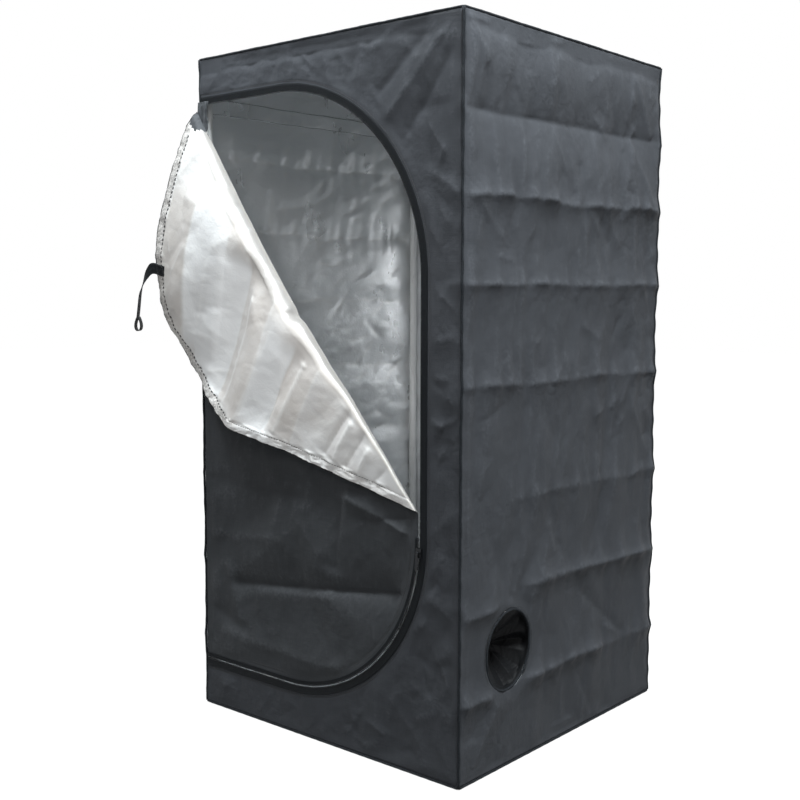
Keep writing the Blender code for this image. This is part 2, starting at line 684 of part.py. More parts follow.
def build_pull(frame):
    """A flat tab with an eye on the slider's pin and a hole at its free end."""
    eye = PIN_RADIUS + PIN_CLEARANCE + PULL_EYE_WALL
    neck, wide = PULL_EYE_WIDTH / 2, PULL_WIDTH / 2
    outline = [
        (-neck, 0), (-neck, -PULL_NECK_LENGTH), (-wide, -PULL_NECK_LENGTH - neck),
        *arc((0, wide - PULL_LENGTH), wide, math.pi, 2 * math.pi, SMALL_SIDES),
        (wide, -PULL_NECK_LENGTH - neck), (neck, -PULL_NECK_LENGTH), (neck, 0),
    ]
    hole = circle((0, wide - PULL_LENGTH), PULL_HOLE_RADIUS, SMALL_SIDES)
    pin = frame @ Matrix.Translation((0, 0, PIN_HEIGHT))
    tab = flat_sheet("zip_pull", "zip_metal", [outline, hole], PULL_THICKNESS, pin)
    tab = place(solid_from_curve(tab), "zip_pull", "zip_metal")
    start = pin @ Matrix.Translation((-neck, 0, 0)) @ toward((1, 0, 0))
    boolean(tab, helper(cylinder(eye, PULL_EYE_WIDTH, start, SMALL_SIDES)), "UNION")
    start = pin @ Matrix.Translation((-neck - CUT_OVERRUN, 0, 0)) @ toward((1, 0, 0))
    bore = cylinder(PIN_RADIUS + PIN_CLEARANCE, PULL_EYE_WIDTH + 2 * CUT_OVERRUN, start, SMALL_SIDES)
    return boolean(tab, helper(bore), "DIFFERENCE")


def fold_place(x, z):
    """A point of the closed door as its distance along the fold line and its height above it."""
    from_start = Vector((x, z)) - FOLD_START
    return from_start.dot(FOLD_ALONG), from_start.dot(FOLD_ACROSS)


def fold_point(along, across):
    """The (x, z) of a place given along and across the fold line."""
    return FOLD_START + FOLD_ALONG * along + FOLD_ACROSS * across


def ease(share):
    share = min(max(share, 0), 1)
    return share * share * (3 - 2 * share)


def at_mark(share, values):
    """A value at a share of the fold's length, eased between the values at its marks."""
    share = min(max(share, 0), 1)
    marks = list(zip(FOLD_MARK_SHARES, values))
    for (start, first), (end, last) in zip(marks, marks[1:]):
        if share <= end:
            return first + (last - first) * ease((share - start) / (end - start))
    return values[-1]


def fold_sag(along):
    """How far the line where the cloth leaves the door lies below the straight fold line."""
    return FOLD_TURN / 2 * at_mark(along / FOLD_LENGTH, FOLD_FULLNESS_SHARES)


def drape(x, z):
    """How far the hanging folds stand out at a place in front of the door."""
    slant = DRAPE_SLANT_SHARE * (FOLD_HINGE_HEIGHT - z - HALF_WIDTH)
    depth = 0
    for share, fold_depth in zip(DRAPE_FOLD_SHARES, DRAPE_FOLD_DEPTHS):
        away = (x + HALF_WIDTH + slant - share * TENT_WIDTH) / DRAPE_FOLD_BREADTH
        depth += fold_depth * math.exp(-away * away)
    return depth


def folded(x, z):
    """Where a point of the closed door lies once the door is folded over its outside."""
    along, across = fold_place(x, z)
    full = at_mark(along / FOLD_LENGTH, FOLD_FULLNESS_SHARES)
    turn, sag = FOLD_TURN * full, fold_sag(along)
    run = across + sag
    if run < turn:
        angle = math.pi * run / turn
        flat = fold_point(along, FOLD_RIDGE_HEIGHT * full * math.sin(angle) - sag)
        out = FOLD_RIDGE_DEPTH * full * (1 - math.cos(angle)) / 2
    else:
        down = run - turn
        tilt = at_mark(along / FOLD_LENGTH, FLAP_TILT_ANGLES)
        flat = fold_point(along, -sag - down * math.cos(tilt))
        out = FOLD_RIDGE_DEPTH * full + down * math.sin(tilt)
        out += drape(flat.x, flat.y) * ease(down / FOLD_FADE)
    return Vector((flat.x, DOOR_Y - out, flat.y))


def path_length(path):
    return sum((last - first).length for first, last in zip(path, path[1:]))


def path_point(path, distance):
    """The point at a distance along a path."""
    for first, last in zip(path, path[1:]):
        length = (last - first).length
        if distance <= length:
            return first.lerp(last, distance / length)
        distance -= length
    return path[-1]


def cloth_seam(left, margin):
    """Points of the door along the line where its cloth turns over, from the left to the zip."""
    right = DOOR_RIGHT - CLOTH_EDGE
    places = [FOLD_LENGTH * step / FLAP_STEPS_ALONG for step in range(FLAP_STEPS_ALONG + 1)]
    line = [fold_point(along, -fold_sag(along) - margin) for along in places]
    inside = [point for point in line if left < point.x < right]
    before = line[line.index(inside[0]) - 1]
    after = line[line.index(inside[-1]) + 1]
    start = before.lerp(inside[0], (left - before.x) / (inside[0].x - before.x))
    end = inside[-1].lerp(after, (right - inside[-1].x) / (after.x - inside[-1].x))
    return [start, *inside, end]


def build_door():
    """The door below the fold, its flap folded over, and the halves of the zip that they carry."""
    seam = cloth_seam(HINGE_X, GAP)
    edge = [Vector(point) for point in doorway_path(-CLOTH_EDGE)]
    edge = [tuple(point) for point in edge if point.y < seam[-1].y]
    edge = [point for point in edge if point[0] > HINGE_X or point[1] < seam[0].y]
    outline = [tuple(point) for point in seam] + edge
    panel = flat_sheet("door_panel", "canvas", [outline], FABRIC, upright(DOOR_Y))
    closed = zip_half("zip_door_half", -1, FOLD_ZIP_HEIGHT - ZIP_FREE_MARGIN)
    hinge = pivot("door_hinge", (HINGE_X, DOOR_Y, (DOOR_TOP + DOOR_BOTTOM) / 2))
    carry(hinge, panel, closed)
    middle = fold_point(FOLD_LENGTH / 2, 0)
    fold_line = pivot("flap_fold_line", (middle.x, FOLD_AXIS_Y, middle.y), hinge)
    carry(fold_line, build_flap(), build_flap_zip())
    build_strap(fold_line)


def build_flap():
    """The upper part of the door, rolled over the fold line and hanging in soft folds."""
    left = HINGE_X + FLAP_HINGE_MARGIN
    seam = cloth_seam(left, 0)
    edge = [Vector(point) for point in doorway_path(-CLOTH_EDGE, left)]
    edge = [point for point in edge if point.y > seam[-1].y] + [seam[-1]]
    shares = [(i / FLAP_STEPS_ACROSS) ** FLAP_STEP_BIAS for i in range(FLAP_STEPS_ACROSS + 1)]
    rows = []
    for index, low in enumerate(seam[:-1]):
        high = path_point(edge, path_length(edge) * index / (len(seam) - 1))
        rows.append([folded(*low.lerp(high, share)) for share in shares])
    return cloth("door_flap", "lining", rows, FABRIC)


def build_flap_zip():
    """The flap's half of the zip, along the flap's free edge."""
    inner = [Vector(point) for point in doorway_path(-TAPE_OUTER)]
    outer = [Vector(point) for point in doorway_path(-TAPE_INNER)]
    rows = []
    for index in range(len(inner) - 1):
        length = (inner[index + 1] - inner[index]).length
        steps = math.ceil(length / FLAP_ZIP_STEP)
        for step in range(steps):
            near = inner[index].lerp(inner[index + 1], step / steps)
            far = outer[index].lerp(outer[index + 1], step / steps)
            if fold_place(*near)[1] > ZIP_FREE_MARGIN:
                rows.append([folded(*near), folded(*far)])
    return cloth("zip_flap_half", "zip_black", rows, FABRIC)


def strap_hem_rows():
    """The strap's first rows, which lie on the flap from its hem to just past its edge."""
    standoff = Vector((0, -(FABRIC + STRAP_THICKNESS) / 2 - STRAP_CLEARANCE, 0))
    rows = []
    for offset in (-CLOTH_EDGE - STRAP_TAB, -CLOTH_EDGE, -TAPE_INNER):
        path = [Vector(point) for point in doorway_path(offset)]
        before = path_point(path, STRAP_PLACE - STRAP_WIDTH / 2)
        after = path_point(path, STRAP_PLACE + STRAP_WIDTH / 2)
        rows.append([folded(*before) + standoff, folded(*after) + standoff])
    return rows


def build_strap(fold_line):
    """The webbing strap that ties the rolled door: sewn to the hem, twisted, ending in a loop."""
    rows = strap_hem_rows()
    seam = (rows[0][0] + rows[0][1]) / 2
    start = (rows[-1][0] + rows[-1][1]) / 2
    along_hem = (rows[-1][1] - rows[-1][0]).normalized()
    level = Vector((math.cos(STRAP_END_TURN), math.sin(STRAP_END_TURN), 0))
    half = STRAP_WIDTH / 2
    for (x, y, down), turn in zip(STRAP_ROUTE_SHARES, STRAP_TURN_SHARES):
        point = start + Vector((x, y, -down)) * STRAP_DROP
        width = along_hem.lerp(level, turn).normalized() * half
        rows.append([point - width, point + width])
    side = level.cross(Vector((0, 0, 1)))
    for step in range(1, LOOP_STEPS + 1):
        turn = 2 * math.pi * step / LOOP_STEPS
        across = STRAP_LOOP_WIDTH * math.sin(turn) * math.sin(turn / 2) / 2
        across -= (STRAP_THICKNESS + GAP) * step / LOOP_STEPS
        down = STRAP_LOOP_LENGTH * (1 - math.cos(turn)) / 2
        centre = point + side * across - Vector((0, 0, down))
        rows.append([centre - level * half, centre + level * half])
    strap = cloth("tie_strap", "webbing", rows, STRAP_THICKNESS)
    carry(pivot("strap_seam", seam, fold_line), strap)


def sleeve_profile():
    """The sleeve's radius, depth inside the wall and share of the full pleat depth, in order."""
    middle = (PORT_RADIUS + SLEEVE_NECK_RADIUS) / 2
    slope = (SLEEVE_DEPTH + SLEEVE_COLLAR) / 2
    return [
        (PORT_RADIUS, SLEEVE_START, 0),
        (PORT_RADIUS, SLEEVE_COLLAR / 2, 0),
        (PORT_RADIUS - SLEEVE_PLEAT_DEPTH, SLEEVE_COLLAR, 1),
        (middle, slope, 1),
        ((middle + SLEEVE_NECK_RADIUS) / 2, (slope + SLEEVE_DEPTH) / 2, SLEEVE_LOW_PLEAT_SHARE),
        (SLEEVE_NECK_RADIUS, SLEEVE_DEPTH, 0),
        (SLEEVE_NECK_RADIUS, NECK_END, 0),
        (SLEEVE_FRILL_RADIUS, NECK_END + SLEEVE_FRILL_LENGTH, SLEEVE_LOW_PLEAT_SHARE),
    ]


def build_sleeve(name, frame):
    """The pleated sleeve of a port: spun from its profile, pleated and given its thickness."""
    bm = bmesh.new()
    rings = sleeve_profile()
    verts = [bm.verts.new((radius, 0, depth)) for radius, depth, _ in rings]
    edges = [bm.edges.new(pair) for pair in zip(verts, verts[1:])]
    bmesh.ops.spin(
        bm, geom=verts + edges, cent=(0, 0, 0), axis=(0, 0, 1), angle=2 * math.pi,
        steps=PORT_STEPS, use_merge=True,
    )
    for vert in bm.verts:
        radius = math.hypot(vert.co.x, vert.co.y)
        pleat = min(rings, key=lambda ring: abs(ring[0] - radius) + abs(ring[1] - vert.co.z))[2]
        wave = math.cos(SLEEVE_PLEATS * math.atan2(vert.co.y, vert.co.x))
        scale = 1 + pleat * SLEEVE_PLEAT_DEPTH * wave / radius
        vert.co.x *= scale
        vert.co.y *= scale
    bmesh.ops.recalc_face_normals(bm, faces=bm.faces)
    sleeve = object_from_bmesh(bm, name, "canvas_dark")
    add_modifier(sleeve, "SOLIDIFY", thickness=SLEEVE_FABRIC, offset=0)
    sleeve.matrix_world = frame
    return smooth(sleeve)


def build_drawcord(name, frame):
    """A cord that comes up through its lock, goes once round the neck and goes down again."""
    depth = (SLEEVE_DEPTH + NECK_END) / 2
    low = -LOCK_DROP - LOCK_RADIUS - DRAWCORD_TAIL
    lead = -DRAWCORD_RING - DRAWCORD_LEAD
    shift = DRAWCORD_PITCH / 2
    start = (DRAWCORD_MOUTH_ANGLE - math.pi) / 2
    ring = arc((0, 0), DRAWCORD_RING, start, math.pi - start, RING_STEPS)
    path = [(0, low, depth + shift), (0, lead, depth + shift)]
    for index, (x, y) in enumerate(ring):
        path.append((x, y, depth + shift - DRAWCORD_PITCH * index / RING_STEPS))
    path += [(0, lead, depth - shift), (0, low, depth - shift)]
    drawcord = cord(name, "cord", path, DRAWCORD_RADIUS)
    drawcord.matrix_world = frame


def build_cord_lock(port, frame):
    """The barrel and the plunger of a spring lock; the cord's two ends pass through both."""
    depth = (SLEEVE_DEPTH + NECK_END) / 2
    middle = frame @ Matrix.Translation((0, -LOCK_DROP, depth))
    foot = -CORD_ROOM - PLUNGER_FOOT
    floor = foot - PLUNGER_TRAVEL - GAP
    base = floor - LOCK_BASE
    along_x = toward((1, 0, 0))
    start = middle @ Matrix.Translation((base, 0, 0)) @ along_x
    barrel = cylinder(LOCK_RADIUS, LOCK_LENGTH, start)
    barrel = object_from_bmesh(barrel, f"{port}_cord_lock", "black_plastic")
    start = middle @ Matrix.Translation((floor, 0, 0)) @ along_x
    boolean(barrel, helper(cylinder(LOCK_BORE, LOCK_LENGTH, start)), "DIFFERENCE")
    through = 2 * (LOCK_RADIUS + CUT_OVERRUN)
    start = middle @ Matrix.Translation((0, through / 2, 0)) @ toward((0, -1, 0))
    hole = cylinder(LOCK_CORD_HOLE_RADIUS, through, start, SMALL_SIDES)
    smooth(boolean(barrel, helper(hole), "DIFFERENCE"))
    head = base + LOCK_LENGTH + PLUNGER_PROUD
    start = middle @ Matrix.Translation((foot, 0, 0)) @ along_x
    plunger = cylinder(LOCK_BORE - PLUNGER_CLEARANCE, head - foot, start)
    plunger = object_from_bmesh(plunger, f"{port}_lock_plunger", "black_plastic")
    slot_length = 2 * CORD_ROOM + PLUNGER_TRAVEL
    slot_size = (slot_length, through, DRAWCORD_PITCH + 2 * CORD_ROOM)
    slot = box(slot_size, (slot_length / 2 - CORD_ROOM, 0, 0), middle)
    smooth(boolean(plunger, helper(slot), "DIFFERENCE"))
    carry(pivot(f"{port}_lock_spring", middle.translation), plunger)


def build_port(port, centre, inwards):
    """A duct port: the bound hem in the wall's hole and what hangs behind it."""
    frame = toward(inwards, centre)
    path = [(x, y, 0) for x, y in circle((0, 0), PORT_RADIUS, PORT_STEPS)]
    hem = cord(f"{port}_hem", "binding", path, PORT_HEM_RADIUS, cyclic=True)
    hem.matrix_world = frame
    build_sleeve(f"{port}_sleeve", frame)
    build_drawcord(f"{port}_drawcord", frame)
    build_cord_lock(port, frame)


def main():
    build_corners()
    build_tubes()
    build_hanging_bars()
    build_panels()
    build_bindings()
    zip_half("zip_frame_half", 1, TENT_HEIGHT)
    build_door()
    build_zip_slider()
    build_port("intake", INTAKE, (-1, 0, 0))
    build_port("exhaust", EXHAUST, (0, -1, 0))


for old in list(bpy.data.objects):
    bpy.data.objects.remove(old)
TENT = new_collection("grow_tent")
HELPERS = new_collection("helpers", hidden=True)
MATERIALS = {name: new_material(name) for name in COLOURS}
main()
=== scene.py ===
"""The looks of an indoor grow tent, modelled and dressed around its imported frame.

Every length is in metres and every place is in the frame's own coordinates: +Z is up, the zipped door
faces -Y and the origin is the middle of the floor's underside.
"""

import logging
import math
from collections.abc import Callable, Sequence
from dataclasses import dataclass, field
from enum import Enum
from itertools import product

import bmesh
import bpy
import numpy as np
from mathutils import Matrix, Vector

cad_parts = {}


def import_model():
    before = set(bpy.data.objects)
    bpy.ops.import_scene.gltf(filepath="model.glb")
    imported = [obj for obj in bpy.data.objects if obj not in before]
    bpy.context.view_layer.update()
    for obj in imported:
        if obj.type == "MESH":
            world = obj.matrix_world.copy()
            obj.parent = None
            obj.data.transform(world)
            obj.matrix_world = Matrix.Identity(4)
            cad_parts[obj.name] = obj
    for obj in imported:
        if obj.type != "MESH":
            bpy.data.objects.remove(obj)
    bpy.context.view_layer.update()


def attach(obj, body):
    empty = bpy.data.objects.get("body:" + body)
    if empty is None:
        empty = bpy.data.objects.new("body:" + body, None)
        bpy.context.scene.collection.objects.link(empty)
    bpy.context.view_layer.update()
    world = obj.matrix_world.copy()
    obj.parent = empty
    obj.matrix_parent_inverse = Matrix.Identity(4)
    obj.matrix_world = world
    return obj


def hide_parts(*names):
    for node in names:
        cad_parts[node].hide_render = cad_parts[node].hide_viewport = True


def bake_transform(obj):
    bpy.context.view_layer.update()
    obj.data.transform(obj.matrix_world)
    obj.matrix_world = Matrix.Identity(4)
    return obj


LOG = logging.getLogger("grow_tent")
Array = np.ndarray
Piece = bpy.types.Object
Material = bpy.types.Material
Socket = bpy.types.NodeSocket
Point = Colour = tuple[float, float, float]
Flat = tuple[float, float]

FRAME_BODY = "frame_and_skin"
OVER_FOLD = "door_to_flap"
CLOTH_UV = "cloth"
CREST = "crest"
HEM = "hem"
PAINTED_FACET_SHADE = "painted_facet_shade"
MERGE = 0.00002


class Slot(Enum):
    """The record's material slots."""

    CANVAS = "canvas"
    CANVAS_DARK = "canvas_dark"
    LINING = "lining"
    BINDING = "binding"
    ZIP_BLACK = "zip_black"
    ZIP_METAL = "zip_metal"
    WEBBING = "webbing"
    FRAME_STEEL = "frame_steel"
    BLACK_PLASTIC = "black_plastic"
    CORD = "cord"


# Shapes in numbers


def eased(share: Array | float) -> Array | float:
    """Eases a share that is first held between 0 and 1."""
    share = np.clip(share, 0, 1)
    return share * share * (3 - 2 * share)


def lengths(points: Array) -> Array:
    """Gives the distance run at each point of a path.

    Args:
        points: The path's points, one a row.

    Returns:
        The running lengths, from zero.
    """
    steps = np.linalg.norm(np.diff(points, axis=0), axis=1)
    return np.concatenate(([0.0], np.cumsum(steps)))


def at_length(points: Array, distance: Array | float) -> Array:
    """Gives the places at distances along a path.

    Args:
        points: The path's points, one a row.
        distance: The distances from its start.

    Returns:
        The places, one a row.
    """
    run = lengths(points)
    return np.stack([np.interp(distance, run, points[:, axis]) for axis in range(points.shape[1])], axis=-1)


def evenly(points: Array, step: float) -> Array:
    """Resamples a path at even steps that are close to the one given."""
    total = lengths(points)[-1]
    count = max(int(round(total / step)), 2)
    return at_length(points, np.linspace(0, total, count + 1))


def unit(vectors: Array) -> Array:
    """Scales each row to a length of one."""
    return vectors / np.maximum(np.linalg.norm(vectors, axis=-1), 1e-12)[..., None]


def smooth_path(points: Array, per_span: int) -> Array:
    """Threads a smooth curve through a path's points.

    Args:
        points: The points, one a row.
        per_span: How many steps each span gets.

    Returns:
        The finer path, which passes through every point.
    """
    padded = np.vstack((2 * points[0] - points[1], points, 2 * points[-1] - points[-2]))
    fine = []
    for before, start, end, after in zip(padded, padded[1:], padded[2:], padded[3:]):
        for step in range(per_span):
            t = step / per_span
            bend, twist = 2 * before - 5 * start + 4 * end - after, 3 * start - before - 3 * end + after
            fine.append(0.5 * (2 * start + (end - before) * t + bend * t**2 + twist * t**3))
    fine.append(points[-1])
    return np.array(fine)


@dataclass(frozen=True)
class Crease:
    """A line pressed into a sheet, given on the flat cloth.

    Its depth is its height at the line, negative for a valley, and its slopes reach to each side. It comes to
    a sharp edge or stays round, its line sways, and its height ripples along its run.
    """

    start: Flat
    end: Flat
    depth: float
    reach: float
    sharp: bool = True
    sway: float = 0.0
    ripple: float = 0.0

    def height(self, flat: Array) -> Array:
        """Gives the crease's height at points of the flat cloth."""
        start, line = np.array(self.start), np.subtract(self.end, self.start)
        size = np.linalg.norm(line)
        share = np.clip((flat - start) @ line / size**2, 0, 1)
        run = share * size
        seed = 31 * self.start[0] + 57 * self.start[1]
        waves = [np.sin(rate * run + seed * rate) for rate in (17, 41, 97, 190)]
        stray = self.sway * (waves[0] + 0.6 * waves[1] + 0.35 * waves[2] + 0.2 * waves[3])
        near = start + share[:, None] * line + stray[:, None] * np.array((-line[1], line[0])) / size
        away = np.linalg.norm(flat - near, axis=1) / self.reach
        profile = np.exp(-away) if self.sharp else np.exp(-away * away)
        ends = eased(np.minimum(share, 1 - share) * size / self.reach + 0.15)
        swell = 1 + self.ripple * (0.5 * waves[1] + 0.5 * waves[2] + 0.3 * waves[3])
        return self.depth * profile * swell * (0.35 + 0.65 * ends)


@dataclass(frozen=True)
class Pleat:
    """A pressed fold between two flat slopes, given on the flat cloth."""

    start: Flat
    end: Flat
    depth: float
    reach: float

    def height(self, flat: Array) -> Array:
        """Gives the fold's height at points of the flat cloth."""
        start, line = np.array(self.start), np.subtract(self.end, self.start)
        size = np.linalg.norm(line)
        run = (flat - start) @ line / size
        across = (flat - start) @ np.array((-line[1], line[0])) / size
        wander = 0.0012 * np.sin(23 * run) + 0.0006 * np.sin(61 * run + 2)
        slope = np.maximum(1 - np.hypot(across - wander, 0.0012) / self.reach, 0)
        return self.depth * slope * eased(run / 0.05 + 0.5) * eased((size - run) / 0.05 + 0.5)


@dataclass(frozen=True)
class Crumple:
    """Flat facets between straight creases, as stiff cloth gets where it was folded and pressed.

    The facets are a cell wide, stretched along either side, and their grid is turned by some radians.
    """

    cell: float
    depth: float
    seed: int
    stretch: Flat = (1.0, 1.0)
    turn: float = 0.6

    def height(self, flat: Array) -> Array:
        """Gives the crumple's height at points of the flat cloth."""
        cos, sin = math.cos(self.turn), math.sin(self.turn)
        turned = flat / np.array(self.stretch) @ np.array(((cos, -sin), (sin, cos))) / self.cell
        bend = np.stack((self.facets(turned / 1.9, 1), self.facets(turned / 1.9 + 7.3, 2)), axis=1)
        return self.depth * self.facets(turned + 0.9 * bend, 0)

    def facets(self, places: Array, layer: int) -> Array:
        """Gives heights from -1 to 1 over a grid of triangles with chance heights at their corners."""
        table = np.random.RandomState(self.seed * 7 + layer).uniform(-1, 1, (64, 64))
        corner = np.floor(places).astype(int)
        inner = places - corner

        def at(x: int, y: int) -> Array:
            """Gives the height at one corner of each place's square."""
            return table[(corner[:, 0] + x) % 64, (corner[:, 1] + y) % 64]

        low, high = at(0, 0), at(1, 1)
        under = low + inner[:, 0] * (at(1, 0) - low) + inner[:, 1] * (high - at(1, 0))
        over = low + inner[:, 1] * (at(0, 1) - low) + inner[:, 0] * (high - at(0, 1))
        return np.where(inner[:, 0] > inner[:, 1], under, over)


@dataclass(frozen=True)
class Billow:
    """A round swell in a sheet, where it stands in or out between its seams."""

    centre: Flat
    size: Flat
    depth: float

    def height(self, flat: Array) -> Array:
        """Gives the swell's height at points of the flat cloth."""
        away = (flat - np.array(self.centre)) / np.array(self.size)
        return self.depth * np.exp(-np.sum(away * away, axis=1))


def scattered(
    count: int, seed: int, low: Flat, high: Flat, span: Flat, depth: float, lean: float, spread: float = 0.8
) -> list[Crease]:
    """Scatters short creases over a sheet, as handling leaves them.

    Args:
        count: How many there are.
        seed: Which scatter this is.
        low: The lowest corner of where they lie.
        high: The highest corner.
        span: The shortest and the longest of them.
        depth: The greatest height, up or down.
        lean: The angle that they mostly run at, in radians.
        spread: How far they turn from it.

    Returns:
        The creases.
    """
    rng = np.random.RandomState(seed)
    found = []
    for _ in range(count):
        middle, half = rng.uniform(low, high), rng.uniform(*span) / 2
        angle = lean + spread * rng.normal()
        step = half * np.array((math.cos(angle), math.sin(angle)))
        height = depth * rng.uniform(0.35, 1.0) * rng.choice((-1, 1))
        reach = rng.uniform(0.005, 0.011)
        found.append(Crease(tuple(middle - step), tuple(middle + step), height, reach, sway=0.0008))
    return found


def creases(*rows: Sequence[float], sharp: bool = True) -> list[Crease]:
    """Makes creases from a table.

    Args:
        *rows: Each crease's two ends, depth, reach and sway in millimetres, then its ripple.
        sharp: Whether they come to an edge or stay round.

    Returns:
        The creases, in the table's order.
    """
    found = []
    for row in rows:
        x0, z0, x1, z1, depth, reach, *sway = (value / 1000 for value in row[:7])
        found.append(Crease((x0, z0), (x1, z1), depth, reach, sharp, *sway, *row[7:]))
    return found


class Relief:
    """All that a sheet's surface does between its seams."""

    def __init__(self, *marks: Crease | Pleat | Crumple | Billow, gain: float = 1.0) -> None:
        """Takes up the marks that make it, all stretched by a gain."""
        self.marks, self.gain = marks, gain

    def height(self, flat: Array) -> Array:
        """Adds up the heights of the marks at points of the flat cloth."""
        total = np.zeros(len(flat))
        for mark in self.marks:
            total += mark.height(flat)
        return self.gain * total


# The sheets' folds and creases

RIGHT_WALL = Relief(
    *creases((-310, 1053, 310, 1060, -5, 28, 0.8, 0.2), (-310, 1053, 310, 1060, -1.4, 7, 0.8, 0.2)),
    Billow((0.0, 1.130), (0.60, 0.050), 0.0060),
    Billow((0.0, 0.985), (0.60, 0.050), 0.0040),
    Billow((-0.290, 1.057), (0.034, 0.080), 0.0040),
    Billow((0.290, 1.057), (0.034, 0.080), 0.0040),
    *creases(
        (-310, 926, 310, 930, 7.2, 40, 2.6, 0.3), (-310, 926, 310, 930, 2.2, 9, 2.6, 0.5),
        (-310, 789, 310, 794, 7, 42, 1.4, 0.25), (-310, 789, 310, 794, 1.8, 8, 1.4, 0.6),
        (-310, 630, 310, 632, 5.6, 40, 2, 0.45), (-310, 630, 310, 632, 1.4, 8, 2, 0.8),
        (-160, 443, 310, 444, 5, 34, 1.6, 0.5), (-310, 269, -200, 273, 6.6, 18, 1.2),
        (-130, 294, 320, 288, 7.4, 30, 1.4, 0.35), (-80, 297, 320, 288, 4, 9, 1.2, 0.4),
        (-310, 130, 310, 135, 4.6, 30, 1.4, 0.3), (-150, 138, 120, 137, 6.2, 11, 1.4, 0.4),
        (-310, 131, -220, 128, 5.6, 12), (-295, 1190, -245, 1120, 4, 13),
        (-260, 1185, -285, 1060, -2.6, 12), (200, 1170, 270, 1060, 3, 12),
        (120, 1120, 170, 1020, -2, 10), (200, 1045, 270, 940, 2.6, 10),
    ),
    *creases((-20, 1020, 30, 930, 1.6, 12), sharp=False),
    *creases(
        (-280, 930, -200, 860, 2.6, 12), (100, 930, 160, 860, 2, 10), (-250, 460, -180, 300, -2, 16),
        (-100, 285, -120, 200, 2.6, 12), (50, 250, 200, 140, -2.6, 14), (200, 600, 280, 470, 2, 14),
        (-200, 120, -270, 20, 2.6, 12), (20, 140, 90, 20, -2.2, 12),
    ),
    *scattered(46, 3, (-0.27, 0.03), (0.27, 1.17), (0.02, 0.07), 0.0022, 0.5, 1.3),
    *scattered(34, 4, (0.10, 0.50), (0.28, 1.17), (0.015, 0.05), 0.0026, 0.9, 0.9),
    Crumple(0.085, 0.0034, 3, (0.9, 1.2)),
    Crumple(0.034, 0.0014, 5, (0.9, 1.2)),
    Crumple(0.015, 0.00040, 6),
    Billow((0.0, 0.60), (0.28, 0.5), -0.004),
)
LEFT_WALL = Relief(
    *creases(
        (-310, 1024, 310, 1033, 6.6, 30, 2, 0.4), (-310, 1024, 310, 1033, 2, 8, 2, 0.6),
        (-310, 893, 310, 895, 6.6, 30, 2, 0.4), (-310, 893, 310, 895, 2, 8, 2, 0.6),
        (-310, 760, 310, 765, 4.4, 28, 3), (-310, 630, 310, 622, 4.4, 28, 2),
        (-310, 480, 310, 486, 4, 26, 3), (-310, 300, 310, 290, 4, 26, 2),
        (-310, 150, 310, 160, 4, 26, 2),
    ),
    *scattered(70, 14, (-0.27, 0.20), (0.29, 1.08), (0.03, 0.09), 0.0026, 0.1, 0.6),
    Crumple(0.080, 0.0030, 11, (2.2, 1.0), 0.12),
    Crumple(0.034, 0.0022, 12, (2.2, 1.0), 0.12),
    Crumple(0.017, 0.0013, 13, (2.0, 1.0), 0.15),
)
BACK_WALL = Relief(
    *(
        Crease((-0.31, z), (0.31, z + 0.006 * (-1) ** i), 0.0038 * (-1) ** (i + 1), 0.028, sway=0.0025)
        for i, z in enumerate((1.055, 0.925, 0.788, 0.629, 0.455, 0.275, 0.135))
    ),
    *creases(
        (-20, 1190, 20, 10, -1.6, 20, 3), (-290, 1180, -200, 1060, 1.8, 12),
        (280, 240, 200, 100, -1.6, 12),
    ),
    Crumple(0.080, 0.0016, 21, (0.9, 1.3)),
    Crumple(0.032, 0.0006, 22, (0.9, 1.5)),
    Crumple(0.013, 0.00014, 23),
)
ROOF = Relief(
    Billow((0, 0), (0.16, 0.16), -0.0020),
    *creases(
        (-310, 20, 310, -10, 2.2, 26, 2), (10, -310, -10, 310, -2.2, 26, 2),
        (-270, -270, -120, -140, 1.4, 14), (270, -270, 140, -120, 1.4, 14),
        (270, 270, 130, 120, 1.4, 14),
    ),
    Crumple(0.080, 0.0014, 31),
    Crumple(0.030, 0.0005, 32),
)
FLOOR = Relief(Crumple(0.07, 0.00012, 41), Crumple(0.02, 0.00005, 42))
